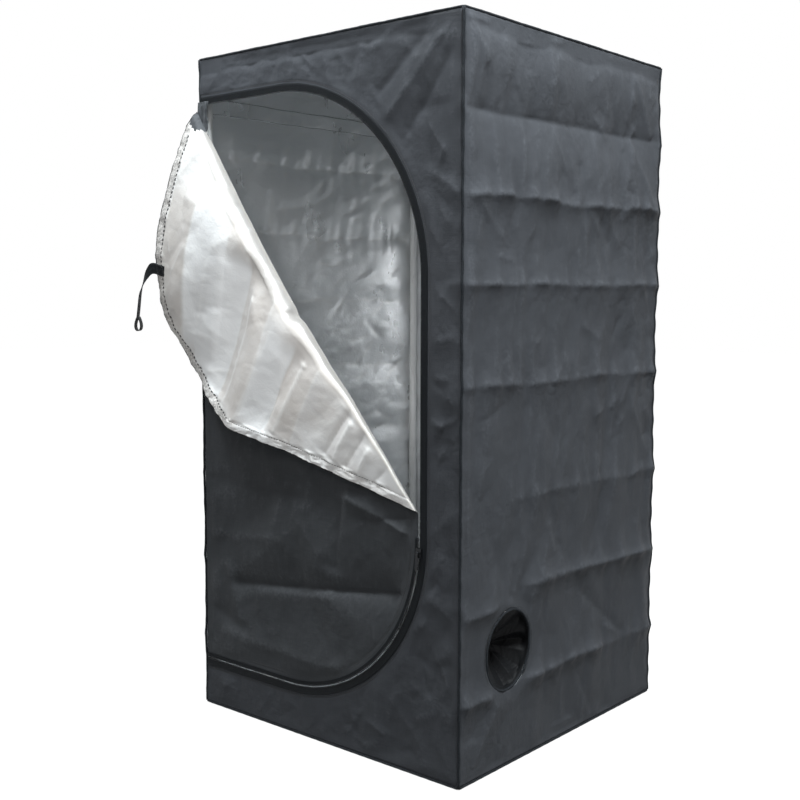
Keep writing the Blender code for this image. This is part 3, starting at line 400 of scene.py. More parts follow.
# the front's tension folds run from its corners to the doorway's bends
FRONT = Relief(
    *creases(
        (285, 1185, 150, 1050, 4.2, 15, 1), (245, 1180, 125, 1085, -4, 15, 1),
        (292, 1150, 190, 1020, -3, 11, 1),
    ),
    *creases(
        (100, 1185, 60, 1115, -1.3, 12), (20, 1180, 0, 1130, 1, 12), (-100, 1185, -130, 1135, -1, 12),
        sharp=False,
    ),
    *creases(
        (-240, 1185, -285, 1130, 1.6, 10), (210, 1055, 300, 1060, -2.2, 12, 1),
        (235, 1035, 272, 985, 1.6, 8), (242, 960, 302, 925, 2.2, 10, 1), (250, 930, 285, 900, -1.4, 8),
        (238, 880, 262, 845, 1.2, 8), (250, 790, 300, 800, -1.6, 14), (250, 620, 300, 630, 1.4, 16),
        (240, 395, 300, 445, 1.3, 10), (235, 300, 303, 262, 2.2, 12, 1), (215, 200, 300, 155, -1.4, 10),
        (160, 120, 225, 50, 1.2, 10, 1), (205, 150, 290, 110, 1.2, 9), (60, 80, 100, 12, -1.4, 12),
        (-120, 70, -160, 12, 1.3, 12), (235, 700, 303, 712, 1.6, 12, 1),
        (235, 560, 303, 548, 1.4, 12, 1),
    ),
    *scattered(26, 55, (0.20, 0.02), (0.29, 0.42), (0.02, 0.06), 0.0022, 0.9, 0.9),
    *scattered(16, 56, (-0.28, 0.015), (0.20, 0.07), (0.02, 0.06), 0.0016, 0.9, 0.9),
    *scattered(22, 57, (-0.28, 1.13), (0.28, 1.18), (0.02, 0.06), 0.0022, 2.4, 0.8),
    *scattered(14, 58, (0.24, 0.45), (0.29, 1.02), (0.02, 0.05), 0.0020, 0.3, 0.9),
    Crumple(0.060, 0.0020, 51, (0.9, 1.3)),
    Crumple(0.024, 0.00085, 52),
    Crumple(0.012, 0.00025, 53),
)
LOWER_DOOR = Relief(
    *creases(
        (-225, 248, 185, 290, -4.4, 26, 1), (-225, 248, 185, 290, -1.2, 6, 1),
        (-170, 240, 40, 262, 2.4, 18, 1), (-290, 434, -20, 425, -2, 18, 1),
        (55, 440, 35, 300, -2.8, 20, 1), (60, 440, 200, 392, 2.8, 18, 1),
        (100, 405, 205, 418, -2.2, 14), (-290, 330, -100, 345, 1.6, 20, 1),
        (-240, 290, -200, 170, 1.4, 14), (-280, 190, -180, 160, -1.8, 18),
        (-260, 150, 60, 137, 1.4, 20, 1), (-290, 620, 50, 600, 2.4, 24, 2),
        (-290, 780, -70, 770, -2.4, 24, 2),
    ),
    Crumple(0.090, 0.0016, 71, (1.3, 0.9)),
    Crumple(0.034, 0.00040, 72),
    Crumple(0.013, 0.00016, 73),
    Billow((-0.02, 0.34), (0.16, 0.16), 0.0030),
    gain=2.5,
)
# the flap's folds stand towards the tent, so a valley shows as a ridge
FLAP = Relief(
    Pleat((-0.165, 1.008), (0.110, 1.013), -0.0170, 0.085),
    Pleat((-0.075, 0.868), (0.190, 0.913), 0.0170, 0.085),
    *creases((-75, 868, 190, 913, 2, 7), (-20, 850, 190, 884, -3.6, 12, 0.6)),
    Pleat((0.040, 0.728), (0.200, 0.774), 0.0125, 0.060),
    *creases(
        (45, 728, 200, 774, 2.2, 6, 0.6), (55, 706, 200, 748, -4.6, 10, 0.6),
        (108, 600, 200, 640, 6.2, 10, 0.8), (120, 590, 200, 612, -6, 9, 0.8),
        (130, 560, 205, 590, 5.6, 8), (150, 545, 205, 560, -5, 8), (165, 500, 210, 530, 4, 7),
        (-240, 1055, -170, 1098, -2.2, 14), (-100, 1000, -20, 1075, 1.6, 12),
        (20, 960, 130, 990, 1.6, 12),
    ),
    *scattered(34, 8, (-0.18, 0.55), (0.19, 1.08), (0.03, 0.10), 0.0016, 0.5),
    Crumple(0.110, 0.0026, 81, (1.5, 0.8), 0.2),
    Crumple(0.045, 0.0011, 82, (1.4, 0.8), 0.3),
    Crumple(0.016, 0.0004, 83),
)
FLAP_HEM = Relief(Crumple(0.013, 0.0016, 91), Crumple(0.006, 0.0009, 92))
ZIP_PATCH = Relief(Crumple(0.011, 0.0026, 95, (0.8, 1.5)), Crumple(0.005, 0.0009, 96))
WALL_BAND = Relief(Crumple(0.030, 0.0011, 61, (1.6, 0.6)), Crumple(0.012, 0.0005, 62))


# Materials


class Nodes:
    """A node tree, a material's or the world's, built with short calls."""

    def __init__(self, owner: str | bpy.types.World) -> None:
        """Starts a material of this name with a principled shader, or takes up the world's tree."""
        self.material = bpy.data.materials.new(owner) if isinstance(owner, str) else owner
        self.material.use_nodes = True
        self.tree = self.material.node_tree
        self.shader = self.tree.nodes.get("Principled BSDF")

    def feed(self, socket: Socket, value: object) -> None:
        """Links a socket into another, or sets its value."""
        if isinstance(value, Socket):
            self.tree.links.new(value, socket)
        else:
            socket.default_value = value

    def node(self, kind: str, inputs: dict | None = None, **settings: object) -> bpy.types.Node:
        """Adds a node.

        Args:
            kind: Its type's name after "ShaderNode".
            inputs: Values or sockets for its inputs.
            **settings: Its own settings.

        Returns:
            The new node.
        """
        node = self.tree.nodes.new(f"ShaderNode{kind}")
        for key, value in settings.items():
            setattr(node, key, value)
        for key, value in (inputs or {}).items():
            self.feed(node.inputs[key], value)
        return node

    def math(self, operation: str, first: object, second: object = 0.0) -> Socket:
        """Adds a sum or other step on two values."""
        return self.node("Math", {0: first, 1: second}, operation=operation).outputs[0]

    def place(self) -> Socket:
        """Gives the place on the object in metres."""
        return self.node("TexCoord").outputs["Object"]

    def cloth(self) -> Socket:
        """Gives the place on the flat cloth in metres."""
        return self.node("UVMap", uv_map=CLOTH_UV).outputs["UV"]

    def scaled(self, vector: object, scale: Colour, turn: float = 0.0) -> Socket:
        """Stretches a pattern's coordinates, and turns them about Z."""
        inputs = {"Vector": vector, "Scale": scale, "Rotation": (0.0, 0.0, turn)}
        return self.node("Mapping", inputs).outputs["Vector"]

    def noise(self, vector: object, scale: float, detail: float = 2.0, rough: float = 0.5) -> Socket:
        """Gives a cloudy value about one half."""
        inputs = {"Vector": vector, "Scale": scale, "Detail": detail, "Roughness": rough}
        return self.node("TexNoise", inputs).outputs["Fac"]

    def spread(
        self, value: object, low: float, high: float, to_low: float = 0.0, to_high: float = 1.0
    ) -> Socket:
        """Maps a value from one range to another and holds it there."""
        inputs = {"Value": value, "From Min": low, "From Max": high, "To Min": to_low, "To Max": to_high}
        return self.node("MapRange", inputs).outputs["Result"]

    def blend(self, share: object, first: object, second: object) -> Socket:
        """Mixes two colours."""
        node = self.node("Mix", data_type="RGBA")
        for index, value in ((0, share), (6, first), (7, second)):
            self.feed(node.inputs[index], (*value, 1.0) if isinstance(value, tuple) else value)
        return node.outputs[2]

    def bump(self, height: object, distance: float, strength: float = 1.0, normal: object = None) -> object:
        """Adds a bump whose height of one stands this distance out."""
        inputs = {"Height": height, "Distance": distance, "Strength": strength}
        if normal is not None:
            inputs["Normal"] = normal
        return self.node("Bump", inputs).outputs["Normal"]

    def folds(self, vector: object, scale: float, detail: float = 2.0) -> Socket:
        """Gives a surface of soft swells that meet in sharp valleys."""
        return self.math("ABSOLUTE", self.math("SUBTRACT", self.noise(vector, scale, detail), 0.5))

    def threads(self, vector: object, pitch: float, turn: float = 0.0) -> Socket:
        """Gives a plain weave, with crowns where warp and weft cross."""
        parts = self.node("SeparateXYZ", {"Vector": self.scaled(vector, (1.0, 1.0, 1.0), turn)}).outputs
        turns = 2 * math.pi / pitch
        warp = self.math("SINE", self.math("MULTIPLY", parts["X"], turns))
        weft = self.math("SINE", self.math("MULTIPLY", parts["Y"], turns))
        return self.math("MULTIPLY", warp, weft)

    def ribs(self, value: object, pitch: float) -> Socket:
        """Gives ribs of a pitch along a coordinate, from -1 to 1."""
        return self.math("SINE", self.math("MULTIPLY", value, 2 * math.pi / pitch))

    def finish(self, colour: object, rough: object, normal: object = None, **constants: float) -> Material:
        """Feeds the shader and gives the finished material.

        Args:
            colour: The base colour, or the socket that gives it.
            rough: The roughness, or the socket that gives it.
            normal: The bumped normal.
            **constants: Values for the shader's other inputs, with underscores for spaces.

        Returns:
            The material.
        """
        self.feed(self.shader.inputs["Base Color"], (*colour, 1.0) if isinstance(colour, tuple) else colour)
        self.feed(self.shader.inputs["Roughness"], rough)
        if normal is not None:
            self.feed(self.shader.inputs["Normal"], normal)
        for key, value in constants.items():
            self.shader.inputs[key.replace("_", " ")].default_value = value
        return self.material


@dataclass(frozen=True)
class CoatedCanvas:
    """Woven polyester with a dull coating: even threads with thicker ones among them, and a painted highlight
    on its crests.
    """

    name: str
    colour: Colour
    rubbed: Colour
    pitch: float = 0.0012
    roughness: float = 0.46
    specular: float = 0.035

    def material(self) -> Material:
        """Builds the material."""
        make = Nodes(self.name)
        cloth = make.cloth()
        weave = make.threads(cloth, self.pitch)
        warp = make.noise(make.scaled(cloth, (900.0, 26.0, 1.0)), 1.0, 3.0)
        weft = make.noise(make.scaled(cloth, (26.0, 900.0, 1.0)), 1.0, 3.0)
        slub = make.math("ADD", warp, weft)
        clouds = make.noise(cloth, 7.0, 5.0, 0.6)
        smears = make.noise(make.scaled(cloth, (16.0, 5.0, 1.0), 0.35), 1.0, 4.0, 0.6)
        # painted highlight: the crests of the relief are painted lighter, towards a pale canvas colour, in
        # speckled patches
        crest = make.node("Attribute", attribute_name=CREST).outputs["Fac"]
        wear_and_highlight = make.math("MULTIPLY", crest, make.spread(make.noise(cloth, 160.0, 3.0), 0.35, 0.65))
        shade = make.math("ADD", make.math("MULTIPLY", clouds, 0.7), make.math("MULTIPLY", slub, 0.35))
        colour = make.blend(make.spread(shade, 0.45, 0.95), self.colour, self.rubbed)
        pale = tuple(min(2.6 * channel, 1.0) for channel in self.rubbed)
        colour = make.blend(make.math("MULTIPLY", wear_and_highlight, 0.16), colour, pale)
        normal = make.bump(slub, 0.00022, 0.6)
        normal = make.bump(weave, 0.00009, 0.55, normal)
        normal = make.bump(make.noise(cloth, 85.0, 3.0, 0.55), 0.0009, 0.35, normal)
        calm = make.spread(make.noise(make.scaled(cloth, (4.0, 6.0, 1.0)), 1.0, 2.0), 0.42, 0.62)
        wide = make.math("MULTIPLY", make.folds(make.scaled(cloth, (1.0, 0.6, 1.0), 0.3), 16.0), calm)
        normal = make.bump(wide, 0.016, 0.30, normal)
        normal = make.bump(make.math("MULTIPLY", make.folds(cloth, 46.0), calm), 0.0045, 0.35, normal)
        rough = make.spread(smears, 0.3, 0.7, self.roughness - 0.07, self.roughness + 0.08)
        return make.finish(colour, rough, normal, Specular_IOR_Level=self.specular)


@dataclass(frozen=True)
class SilverFilm:
    """Reflective film on cloth: bright metal in small flat dents, the backing's weave pressed through."""

    name: str
    colour: Colour
    dull: Colour
    roughness: float
    metallic: float
    stretch: Flat = (1.0, 0.6)
    lean: float = 0.5

    def material(self) -> Material:
        """Builds the material."""
        make = Nodes(self.name)
        cloth = make.cloth()
        sway = make.node("TexNoise", {"Vector": cloth, "Scale": 18.0, "Detail": 2.0}).outputs["Color"]
        strayed = {0: cloth, 1: make.scaled(sway, (0.018, 0.018, 0.0))}
        bent = make.node("VectorMath", strayed, operation="ADD").outputs["Vector"]
        dents = make.folds(make.scaled(bent, (*self.stretch, 1.0), self.lean), 20.0)
        small = make.folds(bent, 95.0)
        patches = make.noise(make.scaled(cloth, (9.0, 6.0, 1.0), 0.7), 1.0, 4.0, 0.6)
        crest = make.node("Attribute", attribute_name=CREST).outputs["Fac"]
        # painted shade: the flap's slopes lean to the dull colour by which way they face
        mark = make.node("Attribute", attribute_name=PAINTED_FACET_SHADE).outputs["Fac"]
        painted_facet_shade = make.math("SUBTRACT", mark, 0.25)
        share = make.math("ADD", make.math("MULTIPLY", make.spread(patches, 0.40, 0.68), 0.5), painted_facet_shade)
        colour = make.blend(make.spread(share, 0.0, 1.0), self.colour, self.dull)
        # painted highlight: the crests of the relief are painted lighter, towards near white
        colour = make.blend(make.math("MULTIPLY", crest, 0.4), colour, (0.90, 0.90, 0.89))
        # painted shade: the flap's roll, marked 1.6, is painted darker
        colour = make.blend(make.spread(mark, 1.0, 1.6, 0.0, 0.62), colour, (0.10, 0.10, 0.10))
        hem = make.node("Attribute", attribute_name=HEM).outputs["Fac"]
        speckle = make.spread(make.noise(cloth, 300.0, 3.0), 0.42, 0.62)
        rubbed = make.blend(speckle, tuple(0.32 * channel for channel in self.dull), self.dull)
        colour = make.blend(make.math("MULTIPLY", hem, 0.7), colour, rubbed)
        normal = make.bump(dents, 0.0070, 0.30)
        normal = make.bump(small, 0.0016, 0.35, normal)
        normal = make.bump(make.noise(cloth, 430.0, 2.0), 0.00012, 0.5, normal)
        normal = make.bump(make.threads(cloth, 0.0016), 0.00004, 0.5, normal)
        rough = make.spread(patches, 0.3, 0.75, self.roughness - 0.05, self.roughness + 0.12)
        return make.finish(colour, rough, normal, Metallic=self.metallic)


@dataclass(frozen=True)
class WovenTape:
    """A narrow woven tape or webbing on its own cloth coordinates, length first."""

    name: str
    colour: Colour
    wear_and_highlight: Colour
    pitch: float
    depth: float
    roughness: float = 0.62

    def material(self) -> Material:
        """Builds the material."""
        make = Nodes(self.name)
        cloth = make.cloth()
        parts = make.node("SeparateXYZ", {"Vector": cloth}).outputs
        zigzag = make.math("PINGPONG", parts["Y"], 2.2 * self.pitch)
        slanted = make.math("ADD", parts["X"], zigzag)
        twill = make.ribs(slanted, self.pitch)
        fuzz = make.noise(cloth, 700.0, 3.0)
        shade = make.math("ADD", make.math("MULTIPLY", twill, 0.25), fuzz)
        colour = make.blend(make.spread(shade, 0.3, 1.0), self.colour, self.wear_and_highlight)
        normal = make.bump(twill, self.depth, 0.8)
        normal = make.bump(fuzz, self.depth, 0.4, normal)
        return make.finish(colour, self.roughness, normal, Specular_IOR_Level=0.08)


@dataclass(frozen=True)
class BiasBinding:
    """A bias-cut tape folded over a seam, its slanting threads read from the place on the object."""

    name: str
    colour: Colour
    wear_and_highlight: Colour
    pitch: float = 0.0011

    def material(self) -> Material:
        """Builds the material."""
        make = Nodes(self.name)
        place = make.place()
        parts = make.node("SeparateXYZ", {"Vector": place}).outputs
        slant = make.math("ADD", make.math("ADD", parts["X"], parts["Y"]), parts["Z"])
        twill = make.ribs(slant, self.pitch)
        fuzz = make.noise(place, 520.0, 3.0)
        puckers = make.noise(place, 110.0, 2.0)
        colour = make.blend(make.spread(fuzz, 0.35, 0.75), self.colour, self.wear_and_highlight)
        normal = make.bump(twill, 0.00012, 0.6)
        normal = make.bump(puckers, 0.0012, 0.5, normal)
        return make.finish(colour, 0.6, normal, Specular_IOR_Level=0.08)


@dataclass(frozen=True)
class Moulded:
    """Moulded plastic or nylon: fine spark grain, slightly uneven gloss."""

    name: str
    colour: Colour
    roughness: float
    grain: float = 0.00006

    def material(self) -> Material:
        """Builds the material."""
        make = Nodes(self.name)
        place = make.place()
        grain = make.noise(place, 1400.0, 2.0)
        flow = make.noise(place, 45.0, 3.0)
        lifted = tuple(1.5 * channel for channel in self.colour)
        colour = make.blend(make.spread(flow, 0.35, 0.7), self.colour, lifted)
        rough = make.spread(flow, 0.3, 0.7, self.roughness - 0.06, self.roughness + 0.08)
        return make.finish(colour, rough, make.bump(grain, self.grain, 0.7))


@dataclass(frozen=True)
class CoatedMetal:
    """Powder coat or enamel on metal: an orange-peel skin with a few rubbed places."""

    name: str
    colour: Colour
    rubbed: Colour
    roughness: float
    metallic: float
    peel: float

    def material(self) -> Material:
        """Builds the material."""
        make = Nodes(self.name)
        place = make.place()
        peel = make.noise(place, 620.0, 2.0)
        scuffs = make.noise(make.scaled(place, (1.0, 1.0, 0.25)), 90.0, 5.0, 0.65)
        colour = make.blend(make.spread(scuffs, 0.62, 0.74), self.colour, self.rubbed)
        rough = make.spread(scuffs, 0.3, 0.7, self.roughness - 0.05, self.roughness + 0.1)
        return make.finish(colour, rough, make.bump(peel, self.peel, 0.5), Metallic=self.metallic)


@dataclass(frozen=True)
class TwistedYarn:
    """Sewing thread or braided cord: slanting strands with a soft nap."""

    name: str
    colour: Colour
    lit: Colour
    pitch: float

    def material(self) -> Material:
        """Builds the material."""
        make = Nodes(self.name)
        place = make.place()
        parts = make.node("SeparateXYZ", {"Vector": place}).outputs
        lean = make.math("ADD", parts["X"], make.math("MULTIPLY", parts["Y"], 0.8))
        strands = make.ribs(make.math("ADD", lean, parts["Z"]), self.pitch)
        crossed = make.ribs(make.math("SUBTRACT", lean, parts["Z"]), self.pitch)
        braid = make.math("MULTIPLY", strands, crossed)
        nap = make.noise(place, 900.0, 3.0)
        colour = make.blend(make.spread(nap, 0.35, 0.8), self.colour, self.lit)
        return make.finish(colour, 0.7, make.bump(braid, 0.0002, 0.7), Sheen_Weight=0.1)


def made(finish: object) -> Material:
    """Gives a field that holds a finish's material once its owner is built."""
    return field(default_factory=finish.material)


@dataclass
class Wardrobe:
    """Every finish of the tent, built once."""

    canvas: Material = made(CoatedCanvas("canvas", (0.0545, 0.0575, 0.0645), (0.0735, 0.0775, 0.0865)))
    door_canvas: Material = made(
        CoatedCanvas("door_canvas", (0.054, 0.057, 0.062), (0.080, 0.084, 0.090), specular=0.03)
    )
    sleeve_cloth: Material = made(
        CoatedCanvas("sleeve_cloth", (0.005, 0.005, 0.006), (0.012, 0.013, 0.014), pitch=0.0008, specular=0.1)
    )
    # the dull colour is also the painted shade of the flap's slopes
    lining: Material = made(SilverFilm("lining", (0.80, 0.805, 0.81), (0.64, 0.605, 0.575), 0.36, 0.12))
    # painted light: the walls' lining is a lighter copy of the door's lining film, brightened for the dim
    # inside
    wall_lining: Material = made(
        SilverFilm(
            "wall_lining", (0.87, 0.89, 0.905), (0.52, 0.54, 0.55), 0.29, 0.56, stretch=(0.45, 1.0), lean=0.12
        )
    )
    binding: Material = made(BiasBinding("binding", (0.012, 0.0135, 0.016), (0.026, 0.030, 0.035)))
    tape: Material = made(
        WovenTape("zip_tape", (0.004, 0.005, 0.006), (0.013, 0.015, 0.018), 0.0011, 0.00012)
    )
    coil: Material = made(Moulded("zip_coil", (0.016, 0.017, 0.019), 0.48, 0.00002))
    enamel: Material = made(
        CoatedMetal("slider_enamel", (0.014, 0.015, 0.017), (0.20, 0.20, 0.19), 0.32, 0.7, 0.00003)
    )
    webbing: Material = made(
        WovenTape("webbing", (0.006, 0.007, 0.008), (0.020, 0.022, 0.024), 0.0019, 0.0003)
    )
    steel: Material = made(
        CoatedMetal("powder_coat", (0.66, 0.67, 0.67), (0.46, 0.47, 0.47), 0.38, 0.05, 0.00005)
    )
    plastic: Material = made(Moulded("black_plastic", (0.014, 0.014, 0.015), 0.44))
    cord: Material = made(TwistedYarn("cord", (0.006, 0.006, 0.007), (0.018, 0.018, 0.020), 0.0016))
    thread: Material = made(TwistedYarn("thread", (0.004, 0.004, 0.005), (0.014, 0.014, 0.016), 0.0009))


# Mesh helpers


def from_bmesh(name: str, bm: bmesh.types.BMesh, outward: bool = False) -> Piece:
    """Makes a piece from a bmesh and frees it.

    Args:
        name: The piece's name.
        bm: Its shape.
        outward: Whether its doubles are merged and its normals worked out afresh.

    Returns:
        The piece.
    """
    if outward:
        bmesh.ops.remove_doubles(bm, verts=bm.verts, dist=MERGE)
        bmesh.ops.recalc_face_normals(bm, faces=bm.faces)
    mesh = bpy.data.meshes.new(name)
    bm.to_mesh(mesh)
    bm.free()
    obj = bpy.data.objects.new(name, mesh)
    bpy.context.scene.collection.objects.link(obj)
    return obj


def positions(mesh: bpy.types.Mesh) -> Array:
    """Reads the places of a mesh's vertices."""
    flat = np.empty(3 * len(mesh.vertices), np.float32)
    mesh.vertices.foreach_get("co", flat)
    return flat.reshape(-1, 3).astype(float)


def set_positions(mesh: bpy.types.Mesh, places: Array) -> None:
    """Moves a mesh's vertices."""
    mesh.vertices.foreach_set("co", places.astype(np.float32).ravel())
    mesh.update()


def set_value(mesh: bpy.types.Mesh, name: str, values: Array) -> None:
    """Stores a value at each vertex."""
    attribute = mesh.attributes.new(name, "FLOAT", "POINT")
    attribute.data.foreach_set("value", values.astype(np.float32))


def set_cloth(mesh: bpy.types.Mesh, flat: Array) -> None:
    """Stores each vertex's place on the flat cloth as the cloth's own coordinates."""
    corners = np.empty(len(mesh.loops), np.int32)
    mesh.loops.foreach_get("vertex_index", corners)
    layer = mesh.uv_layers.new(name=CLOTH_UV)
    layer.data.foreach_set("uv", flat[corners].astype(np.float32).ravel())


def shade_smooth(obj: Piece, degrees: float | None = None) -> None:
    """Shades a piece smooth, with edges sharper than an angle left sharp."""
    obj.data.shade_smooth()
    if degrees is not None:
        obj.data.set_sharp_from_angle(angle=math.radians(degrees))


def wear(obj: Piece, *materials: Material) -> None:
    """Gives a piece its materials."""
    obj.data.materials.clear()
    for material in materials:
        obj.data.materials.append(material)


def bake_modifiers(obj: Piece) -> None:
    """Puts a piece's finished shape into its mesh."""
    if not obj.modifiers:
        return
    bpy.context.view_layer.update()
    graph = bpy.context.evaluated_depsgraph_get()
    mesh = bpy.data.meshes.new_from_object(obj.evaluated_get(graph))
    obj.modifiers.clear()
    obj.data = mesh


def settle(obj: Piece, body: str, slot: Slot, *nodes: str) -> Piece:
    """Puts a finished piece on its body and hides the CAD nodes that it replaces.

    Args:
        obj: The piece.
        body: The body that it rides on, or OVER_FOLD for a piece over the fold, baked in place on no body.
        slot: Not used.
        *nodes: The CAD nodes that it replaces.

    Returns:
        The piece.
    """
    if body == OVER_FOLD:
        bake_modifiers(obj)
        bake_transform(obj)
    else:
        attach(obj, body)
    if nodes:
        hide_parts(*nodes)
    LOG.info("%s rides on %s, %d faces", obj.name, body, len(obj.data.polygons))
    return obj


def grid(name: str, columns: int, rows: int, flip: bool) -> tuple[Piece, Array]:
    """Makes a grid of squares.

    Args:
        name: The piece's name.
        columns: Squares along its width.
        rows: Squares along its height.
        flip: Whether its faces are turned over.

    Returns:
        The piece and each vertex's place as shares of the width and the height.
    """
    bm = bmesh.new()
    bmesh.ops.create_grid(bm, x_segments=columns, y_segments=rows, size=0.5)
    if flip:
        bmesh.ops.reverse_faces(bm, faces=bm.faces)
    obj = from_bmesh(name, bm)
    return obj, positions(obj.data)[:, :2] + 0.5


def crests(shares: Array, heights: Array, columns: int, rows: int) -> Array:
    """Finds where a sheet's relief stands up from what lies round it.

    Args:
        shares: The vertices' places as shares of the grid.
        heights: Their heights.
        columns: The grid's squares along its width.
        rows: The grid's squares along its height.

    Returns:
        A value from 0 to 1 at each vertex.
    """
    column = np.rint(shares[:, 0] * columns).astype(int)
    row = np.rint(shares[:, 1] * rows).astype(int)
    table = np.zeros((rows + 1, columns + 1))
    table[row, column] = heights
    soft = table.copy()
    for _ in range(3):
        padded = np.pad(soft, 1, mode="edge")
        soft = (padded[:-2, 1:-1] + padded[2:, 1:-1] + padded[1:-1, :-2] + padded[1:-1, 2:]) / 4
    stand = (table - soft)[row, column]
    return np.clip((stand - 0.00008) / 0.00035, 0, 1)


def thicken(obj: Piece, thickness: float, group: Array | None = None) -> None:
    """Gives a sheet its thickness, with its second material on its far side.

    Args:
        obj: The sheet.
        thickness: The thickness where it is thickest.
        group: The share of that thickness at each vertex, if it varies.
    """
    solid = obj.modifiers.new("thickness", "SOLIDIFY")
    solid.thickness = thickness
    solid.offset = 0
    if len(obj.data.materials) > 1:
        solid.material_offset = 1
    if group is not None:
        weights = obj.vertex_groups.new(name="thickness")
        for level in np.unique(np.round(group, 1)):
            chosen = np.nonzero(np.round(group, 1) == level)[0]
            weights.add(chosen.tolist(), float(level), "REPLACE")
        solid.vertex_group = weights.name


def tailor(
    obj: Piece, places: Array, flat: Array, thickness: float, *materials: Material, crest: Array | None = None
) -> None:
    """Gives a grid its shape, its cloth coordinates, its finish and its thickness.

    Args:
        obj: The grid.
        places: Where its vertices lie.
        flat: Their places on the flat cloth.
        thickness: The cloth's thickness.
        *materials: Its outer finish and, if it has another, its far side's.
        crest: How far each vertex stands up from what lies round it.
    """
    set_positions(obj.data, places)
    if crest is not None:
        set_value(obj.data, CREST, crest)
    set_cloth(obj.data, flat)
    wear(obj, *materials)
    shade_smooth(obj)
    thicken(obj, thickness)


def swept(
    name: str, path: Array, radius: Array | float, material: Material, sides: int, cyclic: bool = False
) -> Piece:
    """Makes a smooth round solid along a path.

    Args:
        name: The piece's name.
        path: The points of its middle line.
        radius: Its radius, or the radius at each point.
        material: Its finish.
        sides: About how many sides it has round it.
        cyclic: Whether it closes on itself.

    Returns:
        The piece.
    """
    curve = bpy.data.curves.new(name, "CURVE")
    curve.dimensions = "3D"
    curve.bevel_depth = 1.0
    curve.bevel_resolution = max(sides // 2 - 2, 0)
    curve.use_fill_caps = not cyclic
    spline = curve.splines.new("POLY")
    spline.points.add(len(path) - 1)
    spline.points.foreach_set("co", np.column_stack((path, np.ones(len(path)))).ravel())
    spline.points.foreach_set("radius", np.broadcast_to(radius, len(path)).astype(float))
    spline.use_cyclic_u = cyclic
    holder = bpy.data.objects.new(name, curve)
    bpy.context.scene.collection.objects.link(holder)
    bpy.context.view_layer.update()
    graph = bpy.context.evaluated_depsgraph_get()
    mesh = bpy.data.meshes.new_from_object(holder.evaluated_get(graph))
    bpy.data.objects.remove(holder)
    bpy.data.curves.remove(curve)
    bm = bmesh.new()
    bm.from_mesh(mesh)
    bpy.data.meshes.remove(mesh)
    obj = from_bmesh(name, bm, outward=True)
    wear(obj, material)
    shade_smooth(obj)
    return obj


def toward(direction: Sequence[float], origin: Sequence[float] = (0, 0, 0)) -> Matrix:
    """Gives a placing whose +Z runs along a direction and whose +Y stays up."""
    turn = Vector(direction).to_track_quat("Z", "Y").to_matrix().to_4x4()
    return Matrix.Translation(origin) @ turn


def refined(name: str, node: str, bevel: float, material: Material, body: str, slot: Slot) -> Piece:
    """Makes a piece from a merged copy of a CAD node, with its edges rounded off, and replaces the node.

    Args:
        name: The piece's name.
        node: The node to copy.
        bevel: How far its edges are taken back.
        material: Its finish.
        body: The body that it rides on.
        slot: The record's slot.

    Returns:
        The piece.
    """
    source = bpy.data.objects[node]
    bm = bmesh.new()
    bm.from_mesh(source.data)
    bmesh.ops.transform(bm, matrix=source.matrix_world, verts=bm.verts)
    bmesh.ops.remove_doubles(bm, verts=bm.verts, dist=MERGE)
    bmesh.ops.dissolve_limit(bm, angle_limit=math.radians(1), verts=bm.verts, edges=bm.edges)
    obj = from_bmesh(name, bm)
    edge = obj.modifiers.new("edges", "BEVEL")
    edge.width = bevel
    edge.segments = 2
    edge.limit_method = "ANGLE"
    edge.angle_limit = math.radians(40)
    edge.harden_normals = False
    shade_smooth(obj, 40)
    wear(obj, material)
    return settle(obj, body, slot, node)


def sewn(
    name: str, path: Array, normals: Array, sizes: Point, thread: Material, body: str, slot: Slot
) -> Piece:
    """Sews a row of stitches, each a small pulled-in bead of thread.

    Args:
        name: The row's name.
        path: The seam's line.
        normals: The way that the cloth faces, once or at each of the line's points.
        sizes: The stitches' pitch, length and width.
        thread: Its finish.
        body: The body that it rides on.
        slot: The record's slot.

    Returns:
        The row.
    """
    normals, (pitch, length, width) = np.broadcast_to(normals, path.shape), sizes
    run = lengths(path)
    count = max(int(run[-1] / pitch), 1)
    middles = (np.arange(count) + 0.5) * run[-1] / count
    starts = at_length(path, middles - length / 2)
    ends = at_length(path, middles + length / 2)
    facing = unit(np.stack([np.interp(middles, run, normals[:, axis]) for axis in range(3)], axis=1))
    bm = bmesh.new()
    for start, end, normal in zip(starts, ends, facing):
        along = Vector(end - start)
        side = Vector(normal).cross(along).normalized()
        frame = Matrix((along.normalized(), side, Vector(normal))).transposed().to_4x4()
        frame.translation = Vector((start + end) / 2)
        size = Matrix.Diagonal((length / 2, width / 2, width * 0.42, 1))
        bmesh.ops.create_uvsphere(bm, u_segments=6, v_segments=4, radius=1, matrix=frame @ size)
    obj = from_bmesh(name, bm)
    shade_smooth(obj)
    wear(obj, thread)
    return settle(obj, body, slot)


# The tent's measures


